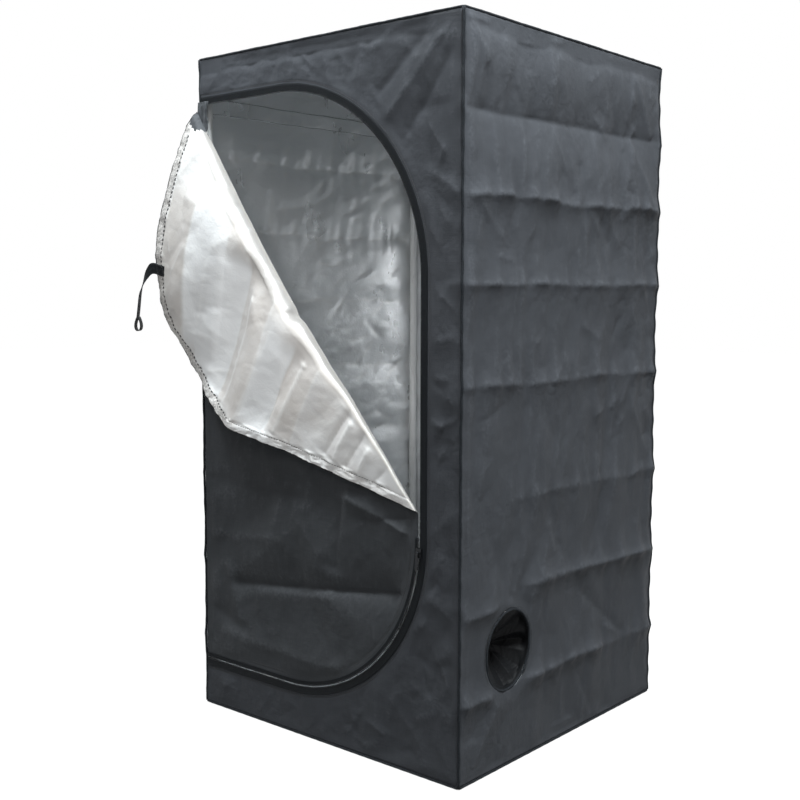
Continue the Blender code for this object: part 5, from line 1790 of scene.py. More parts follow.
@dataclass
class Zip:
    """The long coil zip round the doorway: two tapes, each with its coil, and the slider between them."""

    door: "Door"
    finishes: Wardrobe
    tape_inner: float = 0.0011
    tape_outer: float = 0.0150
    tape_thickness: float = 0.0005
    coil_middle: float = 0.00165
    coil_half_width: float = 0.0008
    coil_half_depth: float = 0.0011
    coil_pitch: float = 0.0020
    coil_wire: float = 0.00032
    free_margin: float = 0.035
    under_hem: float = 0.0011
    over_door: float = 0.0012
    over_frame: float = 0.0007
    door_reach: float = 0.0084
    metal_edge: float = 0.00035
    flap_margin: float = 0.004

    def __post_init__(self) -> None:
        """Takes the doorway and the fold from the door."""
        self.doorway, self.fold = self.door.doorway, self.door.fold

    def build(self) -> list[Piece]:
        """Builds both halves, the flap's share of the door's half, and the slider with its pull."""
        lowest = self.fold.zip_height - self.free_margin
        sides = (
            lambda flat: flat[:, 1] > 0,
            lambda flat: flat[:, 1] < lowest,
            lambda flat: (flat - self.fold.start) @ self.fold.across > self.flap_margin,
        )
        over_frame, over_door = self.standing(self.over_frame), self.standing(self.over_door)
        pieces = self.half("zip_frame", ZipSide.FRAME, sides[0], over_frame, FRAME_BODY, "zip_frame_half")
        pieces += self.half("zip_door", ZipSide.DOOR, sides[1], over_door, "door", "zip_door_half")
        pieces += self.half("zip_flap", ZipSide.DOOR, sides[2], self.folded_place, OVER_FOLD, "zip_flap_half")
        for name, body in (("zip_slider_body", "slider"), ("zip_pull_tab", "pull")):
            node, enamel = f"zip_{body}", self.finishes.enamel
            pieces.append(refined(name, node, self.metal_edge, enamel, body, Slot.ZIP_METAL))
        return pieces

    def standing(self, rise: float) -> Callable[[Array, Array | float], Array]:
        """Gives what puts points of the closed door in its plane, a height in front of it."""
        return lambda flat, out: self.doorway.upright(flat, out + rise)

    def folded_place(self, flat: Array, out: Array | float) -> Array:
        """Puts points of the closed door on the folded flap."""
        out = np.broadcast_to(out, len(flat)) + self.under_hem + self.door.flap_height(flat)
        return self.fold.place(flat) + self.fold.normal(flat) * out[:, None]

    def half(
        self, name: str, side: ZipSide, keep: Callable, place: Callable, body: str, node: str
    ) -> list[Piece]:
        """Builds one half of the zip.

        Args:
            name: The start of its pieces' names.
            side: Which side of the zip's line it lies on.
            keep: Says which points of the doorway's D it has.
            place: Puts points of the closed door where they lie.
            body: The body that it rides on.
            node: The CAD node that it replaces.

        Returns:
            The tape and the coil.
        """
        reach = self.door_reach if body == "door" else self.tape_outer
        paths = (self.doorway.path(side.value * offset) for offset in (self.tape_inner, reach))
        near, far = (path[keep(path)] for path in paths)
        columns, rows = len(near) - 1, 5
        flip = side is ZipSide.FRAME
        tape, shares = grid(f"{name}_tape", columns, rows, flip)
        share = shares[:, 0]
        inner = at_length(near, share * lengths(near)[-1])
        outer = at_length(far, share * lengths(far)[-1])
        flat = inner + (outer - inner) * shares[:, 1:]
        cloth = np.column_stack((share * lengths(near)[-1], shares[:, 1] * (reach - self.tape_inner)))
        tailor(tape, place(flat, 0.0), cloth, self.tape_thickness, self.finishes.tape)
        path = self.doorway.path(side.value * self.coil_middle, 0.002)
        coil = self.coil(f"{name}_coil", path[keep(path)], place, side)
        return [settle(tape, body, Slot.ZIP_BLACK, node), settle(coil, body, Slot.ZIP_BLACK)]

    def coil(self, name: str, line: Array, place: Callable, side: ZipSide) -> Piece:
        """Builds a zip half's nylon coil as one fine spring along its line."""
        total = lengths(line)[-1]
        turns = int(total / self.coil_pitch)
        run = np.linspace(0, total, turns * 8 + 1)
        phase = run / total * turns * 2 * math.pi
        flat = at_length(line, run)
        along = unit(np.gradient(flat, axis=0))
        across = np.column_stack((-along[:, 1], along[:, 0])) * side.value
        flat = flat + across * (self.coil_half_width * np.cos(phase))[:, None]
        path = place(flat, self.coil_half_depth * np.sin(phase))
        return swept(name, path, self.coil_wire, self.finishes.coil, 4)


@dataclass
class Door:
    """The door's cloth: the part that hangs in the doorway and the flap folded down over its outside."""

    doorway: Doorway
    fold: Fold
    finishes: Wardrobe
    cloth_edge: float = -0.0036
    seam_line: float = 0.0170
    hem_width: float = 0.0195
    thickness: float = 0.0012
    field_share: float = 0.5
    neck_facing: float = 0.033
    hem_turn: float = 0.850
    hem_step: float = 0.003
    groove_width: float = 0.0016
    groove_depth: float = 0.0008
    slope_step: float = 0.0016
    lower_fade: float = 0.03
    lower_edge: float = 0.004
    lower_size: tuple[int, int] = (170, 112)
    flap_size: tuple[int, int] = (190, 150)
    flap_free: float = 0.003
    pucker_edge: float = 0.024
    stitch_stand: float = 0.0003
    stitch_free: float = 0.03
    wide_stitch: Point = (0.0080, 0.0058, 0.0031)
    hem_stitch: Point = (0.0052, 0.0042, 0.0012)
    flat_stitch: Point = (0.0042, 0.0036, 0.0010)
    frame_line: float = 0.0186

    def columns(self, count: int) -> Array:
        """Gives places along the door's width, close together where its edge turns down."""
        top = self.doorway.path(self.cloth_edge, 0.002)
        crown = top[: int(np.argmax(top[:, 0] > self.doorway.right + self.cloth_edge - 0.00002)) + 1]
        x = at_length(crown, np.linspace(0, lengths(crown)[-1], count + 1))[:, 0]
        x[0], x[-1] = self.doorway.hinge, self.doorway.right + self.cloth_edge
        return x

    def build(self) -> list[Piece]:
        """Builds the lower door, the flap and their rows of stitches."""
        return [self.lower(), self.flap(), *self.seams()]

    def hem_share(self, flat: Array) -> Array:
        """Gives the share of the full thickness, which only the hems have."""
        inside = self.doorway.inside(flat)
        return self.field_share + (1 - self.field_share) * eased((self.hem_width - inside) / self.hem_step)

    def groove(self, flat: Array) -> Array:
        """Gives how far the row of stitches draws the cloth in."""
        away = (self.doorway.inside(flat) - self.seam_line) / self.groove_width
        return np.exp(-away * away)

    def sheet(
        self, name: str, columns: int, rows: int, low: Array, high: Array, bias: float
    ) -> tuple[Piece, Array, Array]:
        """Makes a grid of upright columns between two heights.

        Args:
            name: The piece's name.
            columns: Squares along the width.
            rows: Squares along the height.
            low: The lower height at each column.
            high: The upper height at each column.
            bias: How much closer together the rows are at the lower end.

        Returns:
            The piece, each vertex's shares and its place on the closed door.
        """
        obj, shares = grid(name, columns, rows, False)
        column = np.rint(shares[:, 0] * columns).astype(int)
        x = self.columns(columns)[column]
        z = low[column] + (high - low)[column] * shares[:, 1] ** bias
        return obj, shares, np.column_stack((x, z))

    def facets(self, flat: Array) -> Array:
        """Gives the flap's painted shade: how far its pressed slopes look up the cloth, from 0 to 1, and 1.6 on
        its roll.
        """
        pressed = Relief(*(mark for mark in FLAP.marks if isinstance(mark, Pleat)))
        step = np.array((0.0, self.slope_step))
        slope = (pressed.height(flat + step) - pressed.height(flat - step)) / (2 * step[1])
        from_start = flat - self.fold.start
        along, across = from_start @ self.fold.along, from_start @ self.fold.across
        turn = self.fold.turn * self.fold.at_mark(along, self.fold.fullness)
        roll = np.exp(-((((across + self.fold.sag(along)) / turn - 0.55) / 0.45) ** 2))
        return np.clip(0.5 + 2.6 * slope, 0, 1) * (1 - roll) + 1.6 * roll

    def finish(self, obj: Piece, shares: Array, flat: Array, height: Array, size: tuple[int, int]) -> None:
        """Gives a sheet its coordinates, its materials and its thickness."""
        set_value(obj.data, CREST, crests(shares, height, *size))
        strong = 0.22 + 0.78 * eased((flat[:, 1] - self.hem_turn) / 0.03 + 0.5)
        set_value(obj.data, HEM, strong * eased((self.seam_line + 0.001 - self.doorway.inside(flat)) / 0.002))
        set_cloth(obj.data, flat)
        wear(obj, self.finishes.door_canvas, self.finishes.lining)
        shade_smooth(obj)
        thicken(obj, self.thickness, self.hem_share(flat))

    def lower(self) -> Piece:
        """Builds the door below the fold."""
        size = self.lower_size
        x = self.columns(size[0])
        low, high = self.doorway.side(x, self.cloth_edge, False), self.fold.seam(x)
        obj, shares, flat = self.sheet("door_panel_cloth", *size, low, high, 1.0)
        edge = np.minimum(self.doorway.inside(flat) - self.lower_edge, flat[:, 0] - self.doorway.hinge)
        seam = self.fold.seam(flat[:, 0]) - flat[:, 1]
        room = eased(edge / self.lower_fade) * eased(seam / self.lower_fade)
        height = LOWER_DOOR.height(flat) * room - self.groove_depth * self.groove(flat)
        set_positions(obj.data, self.doorway.upright(flat, height))
        self.finish(obj, shares, flat, height, size)
        settle(obj, "door", Slot.CANVAS, "door_panel")
        return obj

    def flap_height(self, flat: Array) -> Array:
        """Gives how far the flap stands from its smooth shape, towards its canvas side."""
        inside = self.doorway.inside(flat)
        seam = flat[:, 1] - self.fold.seam(flat[:, 0])
        room = eased((seam - 0.012) / 0.05) * eased((flat[:, 0] - self.doorway.hinge) / 0.02)
        near_edge = eased((self.pucker_edge - inside) / 0.006)
        height = FLAP.height(flat) * room * (1 - 0.25 * eased((0.055 - inside) / 0.045))
        free = self.doorway.plane - self.fold.place(flat)[:, 1]
        height = np.minimum(height, 0.55 * np.maximum(free - self.flap_free, 0))
        return height + FLAP_HEM.height(flat) * near_edge * room + self.groove_depth * self.groove(flat)

    def flap(self) -> Piece:
        """Builds the flap, which starts on the lower door's last row."""
        size = self.flap_size
        x = self.columns(size[0])
        low, high = self.fold.seam(x), self.doorway.side(x, self.cloth_edge, True)
        high = np.maximum(high, low + 0.0004)
        obj, shares, flat = self.sheet("door_flap_cloth", *size, low, high, 1.15)
        height = self.flap_height(flat)
        set_positions(obj.data, self.fold.place(flat) + self.fold.normal(flat) * height[:, None])
        self.finish(obj, shares, flat, -height, size)
        # painted shade: stores the slope and roll values that the lining paints darker
        set_value(obj.data, PAINTED_FACET_SHADE, self.facets(flat))
        self.darken_neck(obj, flat)
        settle(obj, OVER_FOLD, Slot.LINING, "door_flap")
        return obj

    def darken_neck(self, obj: Piece, flat: Array) -> None:
        """Faces the flap with canvas on both sides where it is bunched at the hinge."""
        for _ in range(2):
            obj.data.materials.append(self.finishes.door_canvas)
        near = flat[:, 0] < self.doorway.hinge + self.neck_facing + 0.004 * np.sin(140 * flat[:, 1])
        corners = np.empty(len(obj.data.loops), np.int32)
        obj.data.loops.foreach_get("vertex_index", corners)
        dark = near[corners].reshape(-1, 4).all(axis=1)
        obj.data.polygons.foreach_set("material_index", np.where(dark, 2, 0).astype(np.int32))

    def seams(self) -> list[Piece]:
        """Builds the rows of stitches along the zip, on the flap's lining and on the lower door."""
        pieces = []
        path = self.doorway.path(-self.seam_line, 0.003)
        across = (path - self.fold.start) @ self.fold.across
        free, side = across > self.stitch_free, path[:, 1] > self.hem_turn
        for name, kept, sizes in (
            ("flap_stitches_side", free & side, self.wide_stitch),
            ("flap_stitches_low", free & ~side, self.hem_stitch),
        ):
            upper = path[kept]
            normals = -self.fold.normal(upper)
            line = self.fold.place(upper) + normals * (self.groove_depth - self.flap_height(upper))[:, None]
            pieces.append(sewn(name, line, normals, sizes, self.finishes.thread, "flap", Slot.BINDING))
        for name, body, path in (
            ("door_stitches", "door", path[across < -0.035]),
            ("doorway_stitches", FRAME_BODY, self.doorway.path(self.frame_line, 0.003)),
        ):
            line, outwards = self.doorway.upright(path, self.stitch_stand), np.array((0.0, -1, 0))
            thread = self.finishes.thread
            pieces.append(sewn(name, line, outwards, self.flat_stitch, thread, body, Slot.BINDING))
        return pieces


@dataclass
class TieStrap:
    """The webbing strap that ties the rolled door: sewn to the flap's hem, twisted, ending in a loop."""

    doorway: Doorway
    fold: Fold
    finishes: Wardrobe
    width: float = 0.020
    thickness: float = 0.0012
    place: float = 0.296
    tab: float = 0.012
    clearance: float = 0.0014
    drop: float = 0.089
    loop_length: float = 0.026
    loop_width: float = 0.013
    end_turn: float = math.radians(-50)
    cloth_edge: float = 0.0137
    route: tuple[Point, ...] = (
        (-0.09, -0.03, 0.01), (-0.15, -0.06, 0.08), (-0.21, -0.09, 0.18), (-0.265, -0.11, 0.32),
        (-0.32, -0.135, 0.52), (-0.355, -0.15, 0.80), (-0.38, -0.16, 1.00),
    )
    turns: tuple[float, ...] = (0.05, 0.2, 0.4, 0.6, 0.85, 1.0, 1.0)
    loop_steps: int = 12

    def rows(self) -> tuple[Array, Array]:
        """Gives the strap's two edges, from its tab to the end of its loop."""
        first, second = [], []
        out = np.array((0, -(0.001 + self.thickness) / 2 - self.clearance, 0))
        for offset in (-self.cloth_edge - self.tab, -self.cloth_edge, -0.0009):
            path = self.doorway.path(offset, 0.001)
            ends = at_length(path, np.array((self.place - self.width / 2, self.place + self.width / 2)))
            ends = self.fold.place(ends) + out
            first.append(ends[0])
            second.append(ends[1])
        start = (first[-1] + second[-1]) / 2
        hem = unit(second[-1] - first[-1])
        level = np.array((math.cos(self.end_turn), math.sin(self.end_turn), 0))
        for (x, y, down), turn in zip(self.route, self.turns):
            point = start + np.array((x, y, -down)) * self.drop
            across = unit(hem + (level - hem) * turn) * self.width / 2
            first.append(point - across)
            second.append(point + across)
        side = np.cross(level, (0, 0, 1))
        for step in range(1, self.loop_steps + 1):
            turn = 2 * math.pi * step / self.loop_steps
            out = self.loop_width * math.sin(turn) * math.sin(turn / 2) / 2
            out -= (self.thickness + 0.0003) * step / self.loop_steps
            centre = point + side * out - np.array((0, 0, self.loop_length * (1 - math.cos(turn)) / 2))
            first.append(centre - level * self.width / 2)
            second.append(centre + level * self.width / 2)
        return np.array(first), np.array(second)

    def build(self) -> list[Piece]:
        """Builds the strap and the stitches that hold it."""
        first, second = self.rows()
        first, second = smooth_path(first, 6), smooth_path(second, 6)
        run = lengths((first + second) / 2)
        columns, rows = len(first) - 1, 8
        obj, shares = grid("tie_strap_webbing", columns, rows, True)
        index = np.rint(shares[:, 0] * columns).astype(int)
        places = first[index] + (second - first)[index] * shares[:, 1:]
        set_positions(obj.data, places)
        set_cloth(obj.data, np.column_stack((run[index], shares[:, 1] * self.width)))
        wear(obj, self.finishes.webbing)
        shade_smooth(obj, 60)
        thicken(obj, self.thickness)
        settle(obj, "strap", Slot.WEBBING, "tie_strap")
        box = [first[2], second[2], second[10], first[10], first[2], second[10]]
        path = evenly(np.array([point * 0.8 + (first[6] + second[6]) * 0.1 for point in box]), 0.002)
        normal = unit(np.cross(second[6] - first[6], first[8] - first[4]))
        facing = normal if normal[1] < 0 else -normal
        line, sizes = path + facing * 0.0008, (0.0030, 0.0025, 0.0008)
        row = sewn("tie_strap_stitches", line, facing, sizes, self.finishes.thread, "strap", Slot.WEBBING)
        return [obj, row]


# The duct ports


@dataclass
class DuctPort:
    """A duct port: a bound hem in the wall and a sleeve drawn shut behind it by a cord with a spring lock."""

    name: str
    centre: Point
    inwards: Point
    finishes: Wardrobe
    seed: int
    radius: float = 0.0615
    hem: float = 0.0019
    fabric: float = 0.0006
    collar: float = 0.018
    depth: float = 0.050
    neck: float = 0.0080
    neck_length: float = 0.012
    frill: float = 0.013
    frill_length: float = 0.008
    pleats: int = 9
    cord_radius: float = 0.0011
    cord_ring: float = 0.0098
    cord_pitch: float = 0.0025
    lock_drop: float = 0.0203
    sag: float = 0.07
    lean: float = 0.07
    sag_reach: float = 0.034
    hem_ripples: Flat = (0.0005, 0.0003)
    stitch: Point = (0.0042, 0.0036, 0.0009)
    stitch_offset: float = 0.0052
    clearance: float = 0.0003
    lip: float = 0.0042
    pleat_depth: float = 0.0052
    pleat_start: float = 0.006
    pleat_fade: float = 0.012
    pleat_radii: Flat = (0.004, 0.016)
    depth_sway: float = 0.0035
    size: tuple[int, int] = (300, 64)
    lock_edge: float = 0.0004
    lock_height: float = 0.015
    cord_end: float = 0.012
    cord_lead: float = 0.003
    cord_mouth: float = math.radians(60)
    cord_points: int = 25

    @property
    def frame(self) -> Matrix:
        """The port's own placing, whose +Z runs inwards and whose +Y stays up."""
        return toward(self.inwards, self.centre)

    def stand(self, local: Array) -> Array:
        """Puts points given in the port's own placing where they lie."""
        matrix = np.array(self.frame)
        return local @ matrix[:3, :3].T + matrix[:3, 3]

    def build(self) -> list[Piece]:
        """Builds the hem, its stitches, the sleeve, the cord and its lock."""
        return [*self.hems(), self.sleeve(), self.drawcord(), *self.lock()]

    def ring(self, radius: float, depth: float, count: int) -> Array:
        """Gives points round a circle in the port's own placing."""
        turn = np.linspace(0, 2 * math.pi, count, endpoint=False)
        circle = (radius * np.cos(turn), radius * np.sin(turn), np.full(count, depth))
        return self.sagged(np.column_stack(circle))

    def sagged(self, local: Array) -> Array:
        """Draws the port's mouth out of round, as the hanging cloth does."""
        share = eased((self.sag_reach - local[:, 2]) / self.sag_reach)
        wide = local[:, 0] * (1 - 0.02 * share) - self.lean * local[:, 1] * share
        return np.column_stack((wide, local[:, 1] * (1 + self.sag * share), local[:, 2]))

    def hems(self) -> list[Piece]:
        """Builds the bound hem and a row of stitches in the wall outside it."""
        count = 150
        path = self.ring(self.radius, 0.0, count)
        turn = np.arange(count) * 2 * math.pi / count
        wide, fine = self.hem_ripples
        path[:, 2] += wide * np.sin(5 * turn + self.seed) + fine * np.sin(11 * turn)
        radius, finish = self.hem * (1 + 0.06 * np.sin(37 * turn)), self.finishes.binding
        hem = swept(f"{self.name}_hem_tape", self.stand(path), radius, finish, 10, True)
        radius = self.radius + self.stitch_offset
        line = self.stand(np.vstack([self.ring(radius, -self.stitch[2], points) for points in (120, 1)]))
        settle(hem, FRAME_BODY, Slot.BINDING, f"{self.name}_hem")
        name, facing, thread = f"{self.name}_hem_stitches", -np.array(self.inwards, float), self.finishes.thread
        return [hem, sewn(name, line, facing, self.stitch, thread, FRAME_BODY, Slot.BINDING)]

    def sleeve(self) -> Piece:
        """Builds the sleeve: a funnel of thin cloth in uneven pleats, gathered at its neck."""
        obj, shares = grid(f"{self.name}_sleeve_cloth", *self.size, True)
        start = self.hem + self.clearance
        middle, slope = (self.radius + self.neck) / 2, (self.depth + self.collar) / 2
        narrow = (middle + self.neck) / 2, (slope + self.depth) / 2
        end = self.depth + self.neck_length
        mouth = ((self.radius, start), (self.radius, self.collar / 2), (self.radius - self.lip, self.collar))
        funnel = ((middle, slope), narrow, (self.neck, self.depth))
        frill = ((self.neck, end), (self.frill, end + self.frill_length))
        fine = smooth_path(np.array((*mouth, *funnel, *frill)), 10)
        run = shares[:, 1] * lengths(fine)[-1]
        place = at_length(fine, run)
        radius, depth = place[:, 0], place[:, 1]
        turn = shares[:, 0] * 2 * math.pi
        rng = np.random.RandomState(self.seed)
        draws = [(rate, rng.uniform(0.12, 0.30), rng.uniform(0, 2 * math.pi)) for rate in (1, 2, 3, 5)]
        sway = sum(gain * np.sin(rate * turn + phase) for rate, gain, phase in draws)
        pleat = self.pleats * turn + 1.3 * sway
        wave = 1 - 2 * np.abs(((pleat / math.pi) % 2) - 1)
        fullness = self.pleat_depth * (1 + 0.45 * np.sin(2 * turn + self.seed) * np.cos(3 * turn))
        least, full = self.pleat_radii
        opened = eased((depth - self.pleat_start) / self.pleat_fade)
        strength = opened * np.clip((radius - least) / full, 0.12, 1)
        small = Crumple(0.011, 0.0011, self.seed, (1.0, 1.8)).height(np.column_stack((radius * turn, run)))
        seamless = eased(np.minimum(shares[:, 0], 1 - shares[:, 0]) / 0.04)
        radius = radius + fullness * wave * strength + small * strength * seamless
        depth = depth + self.depth_sway * np.sin(3 * turn + self.seed) * strength * (shares[:, 1] < 0.62)
        local = self.sagged(np.column_stack((radius * np.cos(turn), radius * np.sin(turn), depth)))
        set_positions(obj.data, self.stand(local))
        set_value(obj.data, CREST, np.zeros(len(local)))
        set_cloth(obj.data, np.column_stack((middle * turn, run)))
        bm = bmesh.new()
        bm.from_mesh(obj.data)
        bmesh.ops.remove_doubles(bm, verts=bm.verts, dist=MERGE)
        bm.to_mesh(obj.data)
        bm.free()
        wear(obj, self.finishes.sleeve_cloth)
        shade_smooth(obj)
        thicken(obj, self.fabric)
        settle(obj, FRAME_BODY, Slot.CANVAS_DARK, f"{self.name}_sleeve")
        spans = lengths(fine)
        return obj

    def drawcord(self) -> Piece:
        """Builds the cord that comes up through its lock, goes round the neck and goes down again."""
        depth = self.depth + self.neck_length / 2
        low = -self.lock_drop - self.lock_height / 2 - self.cord_end
        lead, shift = -self.cord_ring - self.cord_lead, self.cord_pitch / 2
        start, count = (self.cord_mouth - math.pi) / 2, self.cord_points
        turn = np.linspace(start, math.pi - start, count)
        climb = depth + shift - self.cord_pitch * np.arange(count) / (count - 1)
        ring = np.column_stack((self.cord_ring * np.cos(turn), self.cord_ring * np.sin(turn), climb))
        ends = ((0, low, depth + shift), (0, (low + lead) / 2, depth + shift), (0, lead, depth + shift))
        tail = ((0, lead, depth - shift), (0, (low + lead) / 2, depth - shift), (0, low, depth - shift))
        path = self.stand(smooth_path(np.vstack((ends, ring, tail)), 4))
        obj = swept(f"{self.name}_drawcord_braid", path, self.cord_radius, self.finishes.cord, 10)
        shade_smooth(obj, 50)
        settle(obj, FRAME_BODY, Slot.CORD, f"{self.name}_drawcord")
        length, width = round(float(lengths(path)[-1]), 4), 2 * self.cord_radius
        return obj

    def lock(self) -> list[Piece]:
        """Builds the spring lock's barrel and plunger."""
        pieces = []
        for part, body in (("cord_lock", FRAME_BODY), ("lock_plunger", f"{self.name}_plunger")):
            node, finish = f"{self.name}_{part}", self.finishes.plastic
            pieces.append(refined(f"{node}_body", node, self.lock_edge, finish, body, Slot.BLACK_PLASTIC))
        return pieces


# The tube frame


@dataclass
class TubeFrame:
    """The tube frame: swaged posts, two rings of tubes, plastic corners and the sliding lamp bars."""

    tent: Tent
    finishes: Wardrobe
    shoulder: float = 0.003
    swage: float = 0.040
    gap: float = 0.0003
    rim: float = 0.0002
    edge: float = 0.0005
    steps: int = 40
    bar_spread: float = 0.200
    hook_seat: float = 0.0153

    def section(self, length: float) -> list[Flat]:
        """Gives the outline of a straight tube's wall, its rims slightly rounded."""
        outer, bore, rim = self.tent.tube, self.tent.tube - self.tent.tube_wall, self.rim
        return [
            (outer, rim), (outer - rim, 0), (bore + rim, 0), (bore, rim),
            (bore, length - rim), (bore + rim, length), (outer - rim, length), (outer, length - rim),
        ]

    def swaged(self, length: float) -> list[Flat]:
        """Gives the outline of the wall of a tube whose top narrows to a spigot."""
        outer, wall = self.tent.tube, self.tent.tube_wall
        bore = outer - wall
        spigot = bore - self.gap
        tip = length + self.shoulder + self.swage
        return [
            (spigot, tip), (spigot, length + self.shoulder), (outer, length), (outer, self.rim),
            (outer - self.rim, 0), (bore, 0), (bore, length - self.shoulder), (spigot - wall, length),
            (spigot - wall, tip),
        ]

    def tube(self, node: str, section: Sequence[Flat], place: Matrix, body: str = FRAME_BODY) -> Piece:
        """Spins one tube from its wall's outline and puts it in its node's place."""
        bm = bmesh.new()
        points = [bm.verts.new((radius, 0, height)) for radius, height in section]
        outline = points + [bm.edges.new(pair) for pair in zip(points, points[1:] + points[:1])]
        full = {"axis": (0, 0, 1), "angle": 2 * math.pi, "steps": self.steps, "use_merge": True}
        bmesh.ops.spin(bm, geom=outline, cent=(0, 0, 0), **full)
        bmesh.ops.transform(bm, matrix=place, verts=bm.verts)
        obj = from_bmesh(f"{node}_tube", bm, outward=True)
        shade_smooth(obj, 32)
        wear(obj, self.finishes.steel)
        return settle(obj, body, Slot.FRAME_STEEL, node)

    def build(self) -> list[Piece]:
        """Builds the posts, the rings, the bars and the plastic pieces that join them."""
        tent = self.tent
        ends = (-tent.frame, tent.frame)
        faces, sides = list(zip(("front", "back"), ends)), list(zip(("left", "right"), ends))
        start, end = tent.frame_low + tent.tube_seat, tent.frame_high - tent.tube_seat
        joint = start + (end - start) / 2
        lower, upper = self.swaged(joint - start - self.shoulder), self.section(end - joint - self.gap)
        pieces = []
        for (face, y), (side, x) in product(faces, sides):
            for part, outline, z in (("lower", lower, start), ("upper", upper, joint + self.gap)):
                pieces.append(self.tube(f"post_{part}_{face}_{side}", outline, Matrix.Translation((x, y, z))))
        run = tent.frame - tent.tube_seat
        for level, z in (("bottom", tent.frame_low), ("top", tent.frame_high)):
            for face, y in faces:
                place = toward((1, 0, 0), (-run, y, z))
                pieces.append(self.tube(f"tube_{level}_{face}", self.section(2 * run), place))
            for side, x in sides:
                place = toward((0, 1, 0), (x, -run, z))
                pieces.append(self.tube(f"tube_{level}_{side}", self.section(2 * run), place))
        run = tent.frame - self.hook_seat
        for name, y in (("front", -self.bar_spread / 2), ("rear", self.bar_spread / 2)):
            place = toward((1, 0, 0), (-run, y, tent.frame_high))
            pieces.append(self.tube(f"hanging_bar_{name}", self.section(2 * run), place, f"bar_{name}"))
            pieces += [self.plastic(f"bar_hook_{name}_{side}", f"bar_{name}") for side, _ in sides]
        for level, (face, _), (side, _) in product(("bottom", "top"), faces, sides):
            pieces.append(self.plastic(f"corner_{level}_{face}_{side}", FRAME_BODY))
        return pieces

    def plastic(self, node: str, body: str) -> Piece:
        """Builds a moulded joint from its node, with rounded edges."""
        return refined(f"{node}_moulding", node, self.edge, self.finishes.plastic, body, Slot.BLACK_PLASTIC)


# The studio


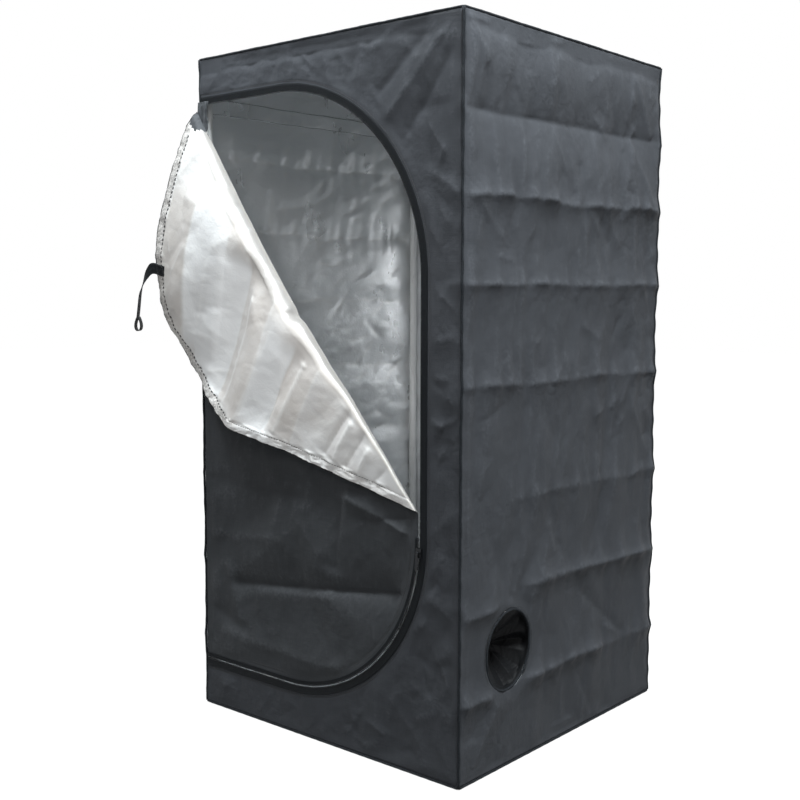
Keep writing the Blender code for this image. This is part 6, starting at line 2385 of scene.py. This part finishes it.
@dataclass
class Studio:
    """A pale floor, soft light and the photograph's camera."""

    camera_place: Point = (1.357, -1.674, 0.768)
    yaw: float = 40.64
    pitch: float = -5.10
    roll: float = 0.15
    lens: float = 51.41
    floor_half: float = 14.0
    fill: float = 0.05

    def build(self) -> None:
        """Sets up the floor, the world, the lamps, the camera and the view settings."""
        self.floor()
        self.world()
        self.softbox("key", (1.10, -0.48, 2.65), (0.10, -0.05, 0.70), 0.6, 100.0, (0.92, 0.98, 1.0))
        self.softbox("header", (-0.40, -0.72, 1.96), (-0.05, -0.30, 0.90), 0.4, 17.0, (0.90, 0.97, 1.0))
        self.softbox("front", (1.3, -2.5, 2.5), (-0.1, -0.2, 0.6), 1.0, 17.0, (1.0, 0.99, 0.98))
        self.spot("doorway", (0.75, -1.35, 0.95), (-0.30, 0.10, 0.70), 24.0, 25.0)
        self.softbox("rear", (-0.95, 1.05, 2.45), (-0.10, 0.10, 0.60), 0.5, 48.0, (0.94, 0.98, 1.0))
        self.camera()
        bpy.context.scene.view_settings.view_transform = "Standard"

    def floor(self) -> None:
        """Lays a wide pale floor just under the tent."""
        bm = bmesh.new()
        bmesh.ops.create_grid(bm, x_segments=1, y_segments=1, size=self.floor_half)
        bmesh.ops.translate(bm, vec=(0, 0, -0.0006), verts=bm.verts)
        obj = from_bmesh("studio_floor", bm)
        make = Nodes("studio_floor")
        tree = make.tree
        path = make.node("LightPath").outputs
        seen = make.math("MAXIMUM", path["Is Camera Ray"], path["Is Glossy Ray"])
        away = make.node("VectorMath", {0: make.place()}, operation="LENGTH").outputs["Value"]
        level = make.spread(away, 0.9, 2.6, 0.86, 1.0)
        glow = make.node("Emission", {"Color": (1, 1, 1, 1), "Strength": make.math("MULTIPLY", seen, level)})
        matt = make.node("BsdfDiffuse", {"Color": (0.18, 0.18, 0.18, 1)})
        both = make.node("AddShader", {0: glow.outputs[0], 1: matt.outputs[0]})
        tree.links.new(both.outputs[0], tree.nodes["Material Output"].inputs["Surface"])
        wear(obj, make.material)

    def world(self) -> None:
        """Makes the surroundings white to look at and dimmer as a light."""
        world = bpy.data.worlds.new("studio")
        bpy.context.scene.world = world
        make = Nodes(world)
        path = make.node("LightPath").outputs
        seen = make.math("MAXIMUM", path["Is Camera Ray"], path["Is Glossy Ray"])
        seen = make.math("MAXIMUM", seen, path["Is Transmission Ray"])
        background = make.tree.nodes["Background"].inputs
        make.feed(background["Color"], (1, 1, 1, 1))
        make.feed(background["Strength"], make.spread(seen, 0.0, 1.0, self.fill))

    def lamp(self, name: str, kind: str, place: Point, target: Point, power: float) -> bpy.types.Light:
        """Hangs a lamp.

        Args:
            name: Its name.
            kind: Its kind.
            place: Where it hangs.
            target: What it points at.
            power: Its power in watts.

        Returns:
            The lamp.
        """
        lamp = bpy.data.lights.new(name, kind)
        lamp.energy = power
        obj = bpy.data.objects.new(name, lamp)
        obj.matrix_world = toward(Vector(place) - Vector(target), place)
        bpy.context.scene.collection.objects.link(obj)
        return lamp

    def softbox(
        self, name: str, place: Point, target: Point, size: float, power: float, colour: Colour
    ) -> None:
        """Hangs a square soft lamp of a size and a colour."""
        lamp = self.lamp(name, "AREA", place, target, power)
        lamp.color, lamp.shape, lamp.size = colour, "SQUARE", size

    def spot(self, name: str, place: Point, target: Point, angle: float, power: float) -> None:
        """Hangs a soft-edged spot lamp whose cone has an angle in degrees."""
        lamp = self.lamp(name, "SPOT", place, target, power)
        lamp.spot_size, lamp.spot_blend, lamp.shadow_soft_size = math.radians(angle), 1.0, 0.12

    def camera(self) -> None:
        """Puts the camera where the photograph was taken from."""
        camera = bpy.data.cameras.new("camera")
        camera.lens = self.lens
        camera.sensor_width = 36.0
        obj = bpy.data.objects.new("camera", camera)
        yaw, pitch = math.radians(self.yaw), math.radians(self.pitch)
        turn = Matrix.Rotation(yaw, 4, "Z") @ Matrix.Rotation(math.pi / 2 + pitch, 4, "X")
        turn = turn @ Matrix.Rotation(math.radians(self.roll), 4, "Z")
        obj.matrix_world = Matrix.Translation(self.camera_place) @ turn
        bpy.context.scene.collection.objects.link(obj)
        bpy.context.scene.camera = obj


def main() -> None:
    """Builds the tent's looks in order."""
    logging.basicConfig(level=logging.INFO, format="%(message)s")
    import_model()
    Studio().build()
    tent, doorway, finishes = Tent(), Doorway(), Wardrobe()
    fold = Fold(doorway)
    door = Door(doorway, fold, finishes)
    skin = Skin(tent, doorway, finishes)
    parts = (
        skin,
        WallBand(skin),
        ZipPatch(doorway, finishes),
        BoundSeams(tent, finishes),
        Zip(door, finishes),
        door,
        TieStrap(doorway, fold, finishes),
        DuctPort("intake", (0.303, -0.172, 0.195), (-1, 0, 0), finishes, 5),
        DuctPort("exhaust", (0.140, 0.303, 1.035), (0, -1, 0), finishes, 8),
        TubeFrame(tent, finishes),
    )
    for part in parts:
        pieces = part.build()
        LOG.info("%s: %d pieces", type(part).__name__, len(pieces))


if __name__ == "__main__":
    main()
